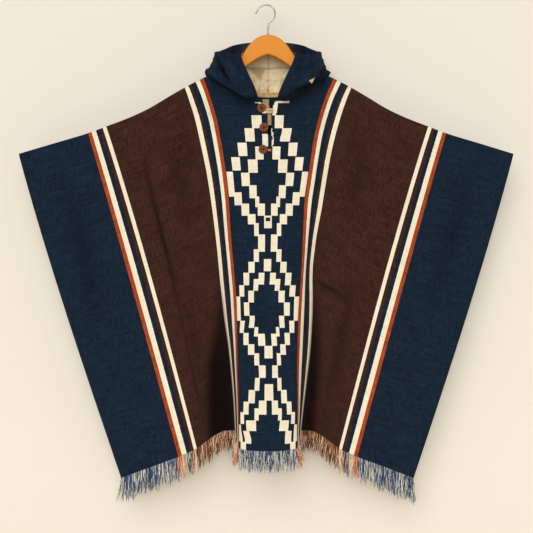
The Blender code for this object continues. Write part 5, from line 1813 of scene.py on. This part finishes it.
# Two broad soft lamps that light the wall evenly: the main one is at the upper left, and a weaker one
# beside the camera fills the hollows. For each: the way its light comes from, its strength and how
# wide it looks, in degrees. The room gives the rest.
LAMPS = {"soft_lamp": ((-0.16, -1.0, 0.42), 1.15, 44.0),
         "fill_lamp": ((0.0, -1.0, 0.06), 1.05, 24.0)}
ROOM_STRENGTH = 0.28
ROOM_LIGHT = (1.0, 0.985, 0.96, 1.0)
scene = bpy.context.scene
scene.view_settings.view_transform = "Standard"     # dyes come out as they were mixed

camera_data = bpy.data.cameras.new("camera")
camera_data.sensor_width = SENSOR
camera_data.lens = SENSOR * EYE_DISTANCE / VIEW_WIDTH
camera = bpy.data.objects.new("camera", camera_data)
camera.location = CAMERA_AT
camera.rotation_euler = (math.radians(90), 0, 0)
scene.collection.objects.link(camera)
scene.camera = camera

for name, (comes_from, strength, width) in LAMPS.items():
    lamp_data = bpy.data.lights.new(name, "SUN")
    lamp_data.energy = strength
    lamp_data.angle = math.radians(width)
    lamp = bpy.data.objects.new(name, lamp_data)
    lamp.location = 3.0 * np.array(comes_from)
    lamp.rotation_euler = Vector(comes_from).to_track_quat("Z", "Y").to_euler()
    scene.collection.objects.link(lamp)

world = bpy.data.worlds.new("studio")
world.use_nodes = True
room = world.node_tree.nodes["Background"]
room.inputs["Color"].default_value = ROOM_LIGHT
room.inputs["Strength"].default_value = ROOM_STRENGTH
scene.world = world
print("camera lens:", round(camera_data.lens, 1), "mm, lamps:", ", ".join(LAMPS))


# %% Wall and floor
def stage_plane(name, corners, look):
    """A flat stage piece from its four corners."""
    plane = new_piece(name, np.array(corners), np.array([[0, 1, 2, 3]]), smooth_shaded=False)
    dress([plane], look)
    return plane


plain, one_sided = (new_look(name, Base_Color=PALE, Roughness=1.0, Specular_IOR_Level=0.0)
                    for name in ("plain_floor", "plain_wall"))
behind = add(one_sided, "NewGeometry").outputs["Backfacing"]
see_through = add(one_sided, "MixShader", Fac=behind)
wall_nodes = one_sided.node_tree.nodes
feed(one_sided, see_through.inputs[1], wall_nodes["Principled BSDF"].outputs[0])
feed(one_sided, see_through.inputs[2], add(one_sided, "BsdfTransparent").outputs[0])
feed(one_sided, wall_nodes["Material Output"].inputs["Surface"], see_through.outputs[0])
reach = STAGE_WIDTH / 2
foot = [(reach, WALL_AT, FLOOR_AT), (-reach, WALL_AT, FLOOR_AT)]
stage_plane("studio_floor", [(-reach, -reach, FLOOR_AT), (reach, -reach, FLOOR_AT)] + foot, plain)
stage_plane("studio_wall", foot[::-1] + [(reach, WALL_AT, reach), (-reach, WALL_AT, reach)], one_sided)
print("the wall stands", WALL_AT, "m behind the hanger's plane")

# %% [markdown]
# ## Join the frame
#
# Everything rides on the one body, because a poncho has no joints. Each new piece stands for the
# plain solid of its node, which is hidden.

# %% What each piece stands for
FOR_NODES = {front: ("front", "poncho_cloth"), back: ("back", "poncho_cloth"),
             hood_left: ("hood_left", "hood_cloth"), hood_right: ("hood_right", "hood_cloth"),
             tape: ("neck_tape", "pale_cloth"), facing: ("slit_facing", "pale_cloth"),
             front_fringe: ("fringe_front", "fringe"), back_fringe: ("fringe_back", "fringe"),
             wood: ("hanger_wood", "hanger_wood"), hook: ("hanger_hook", "hook_steel")}
FOR_NODES.update({piece: (name, "button") for name, piece in buttons.items()})
FOR_NODES.update({piece: (name, "cord") for name, piece in loops.items()})
for piece, (node, slot_name) in FOR_NODES.items():
    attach(piece, "root")
    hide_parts(node)
print(len(FOR_NODES), "pieces stand for", len(set(node for node, _ in FOR_NODES.values())), "nodes")

# %% The end
bpy.context.view_layer.update()
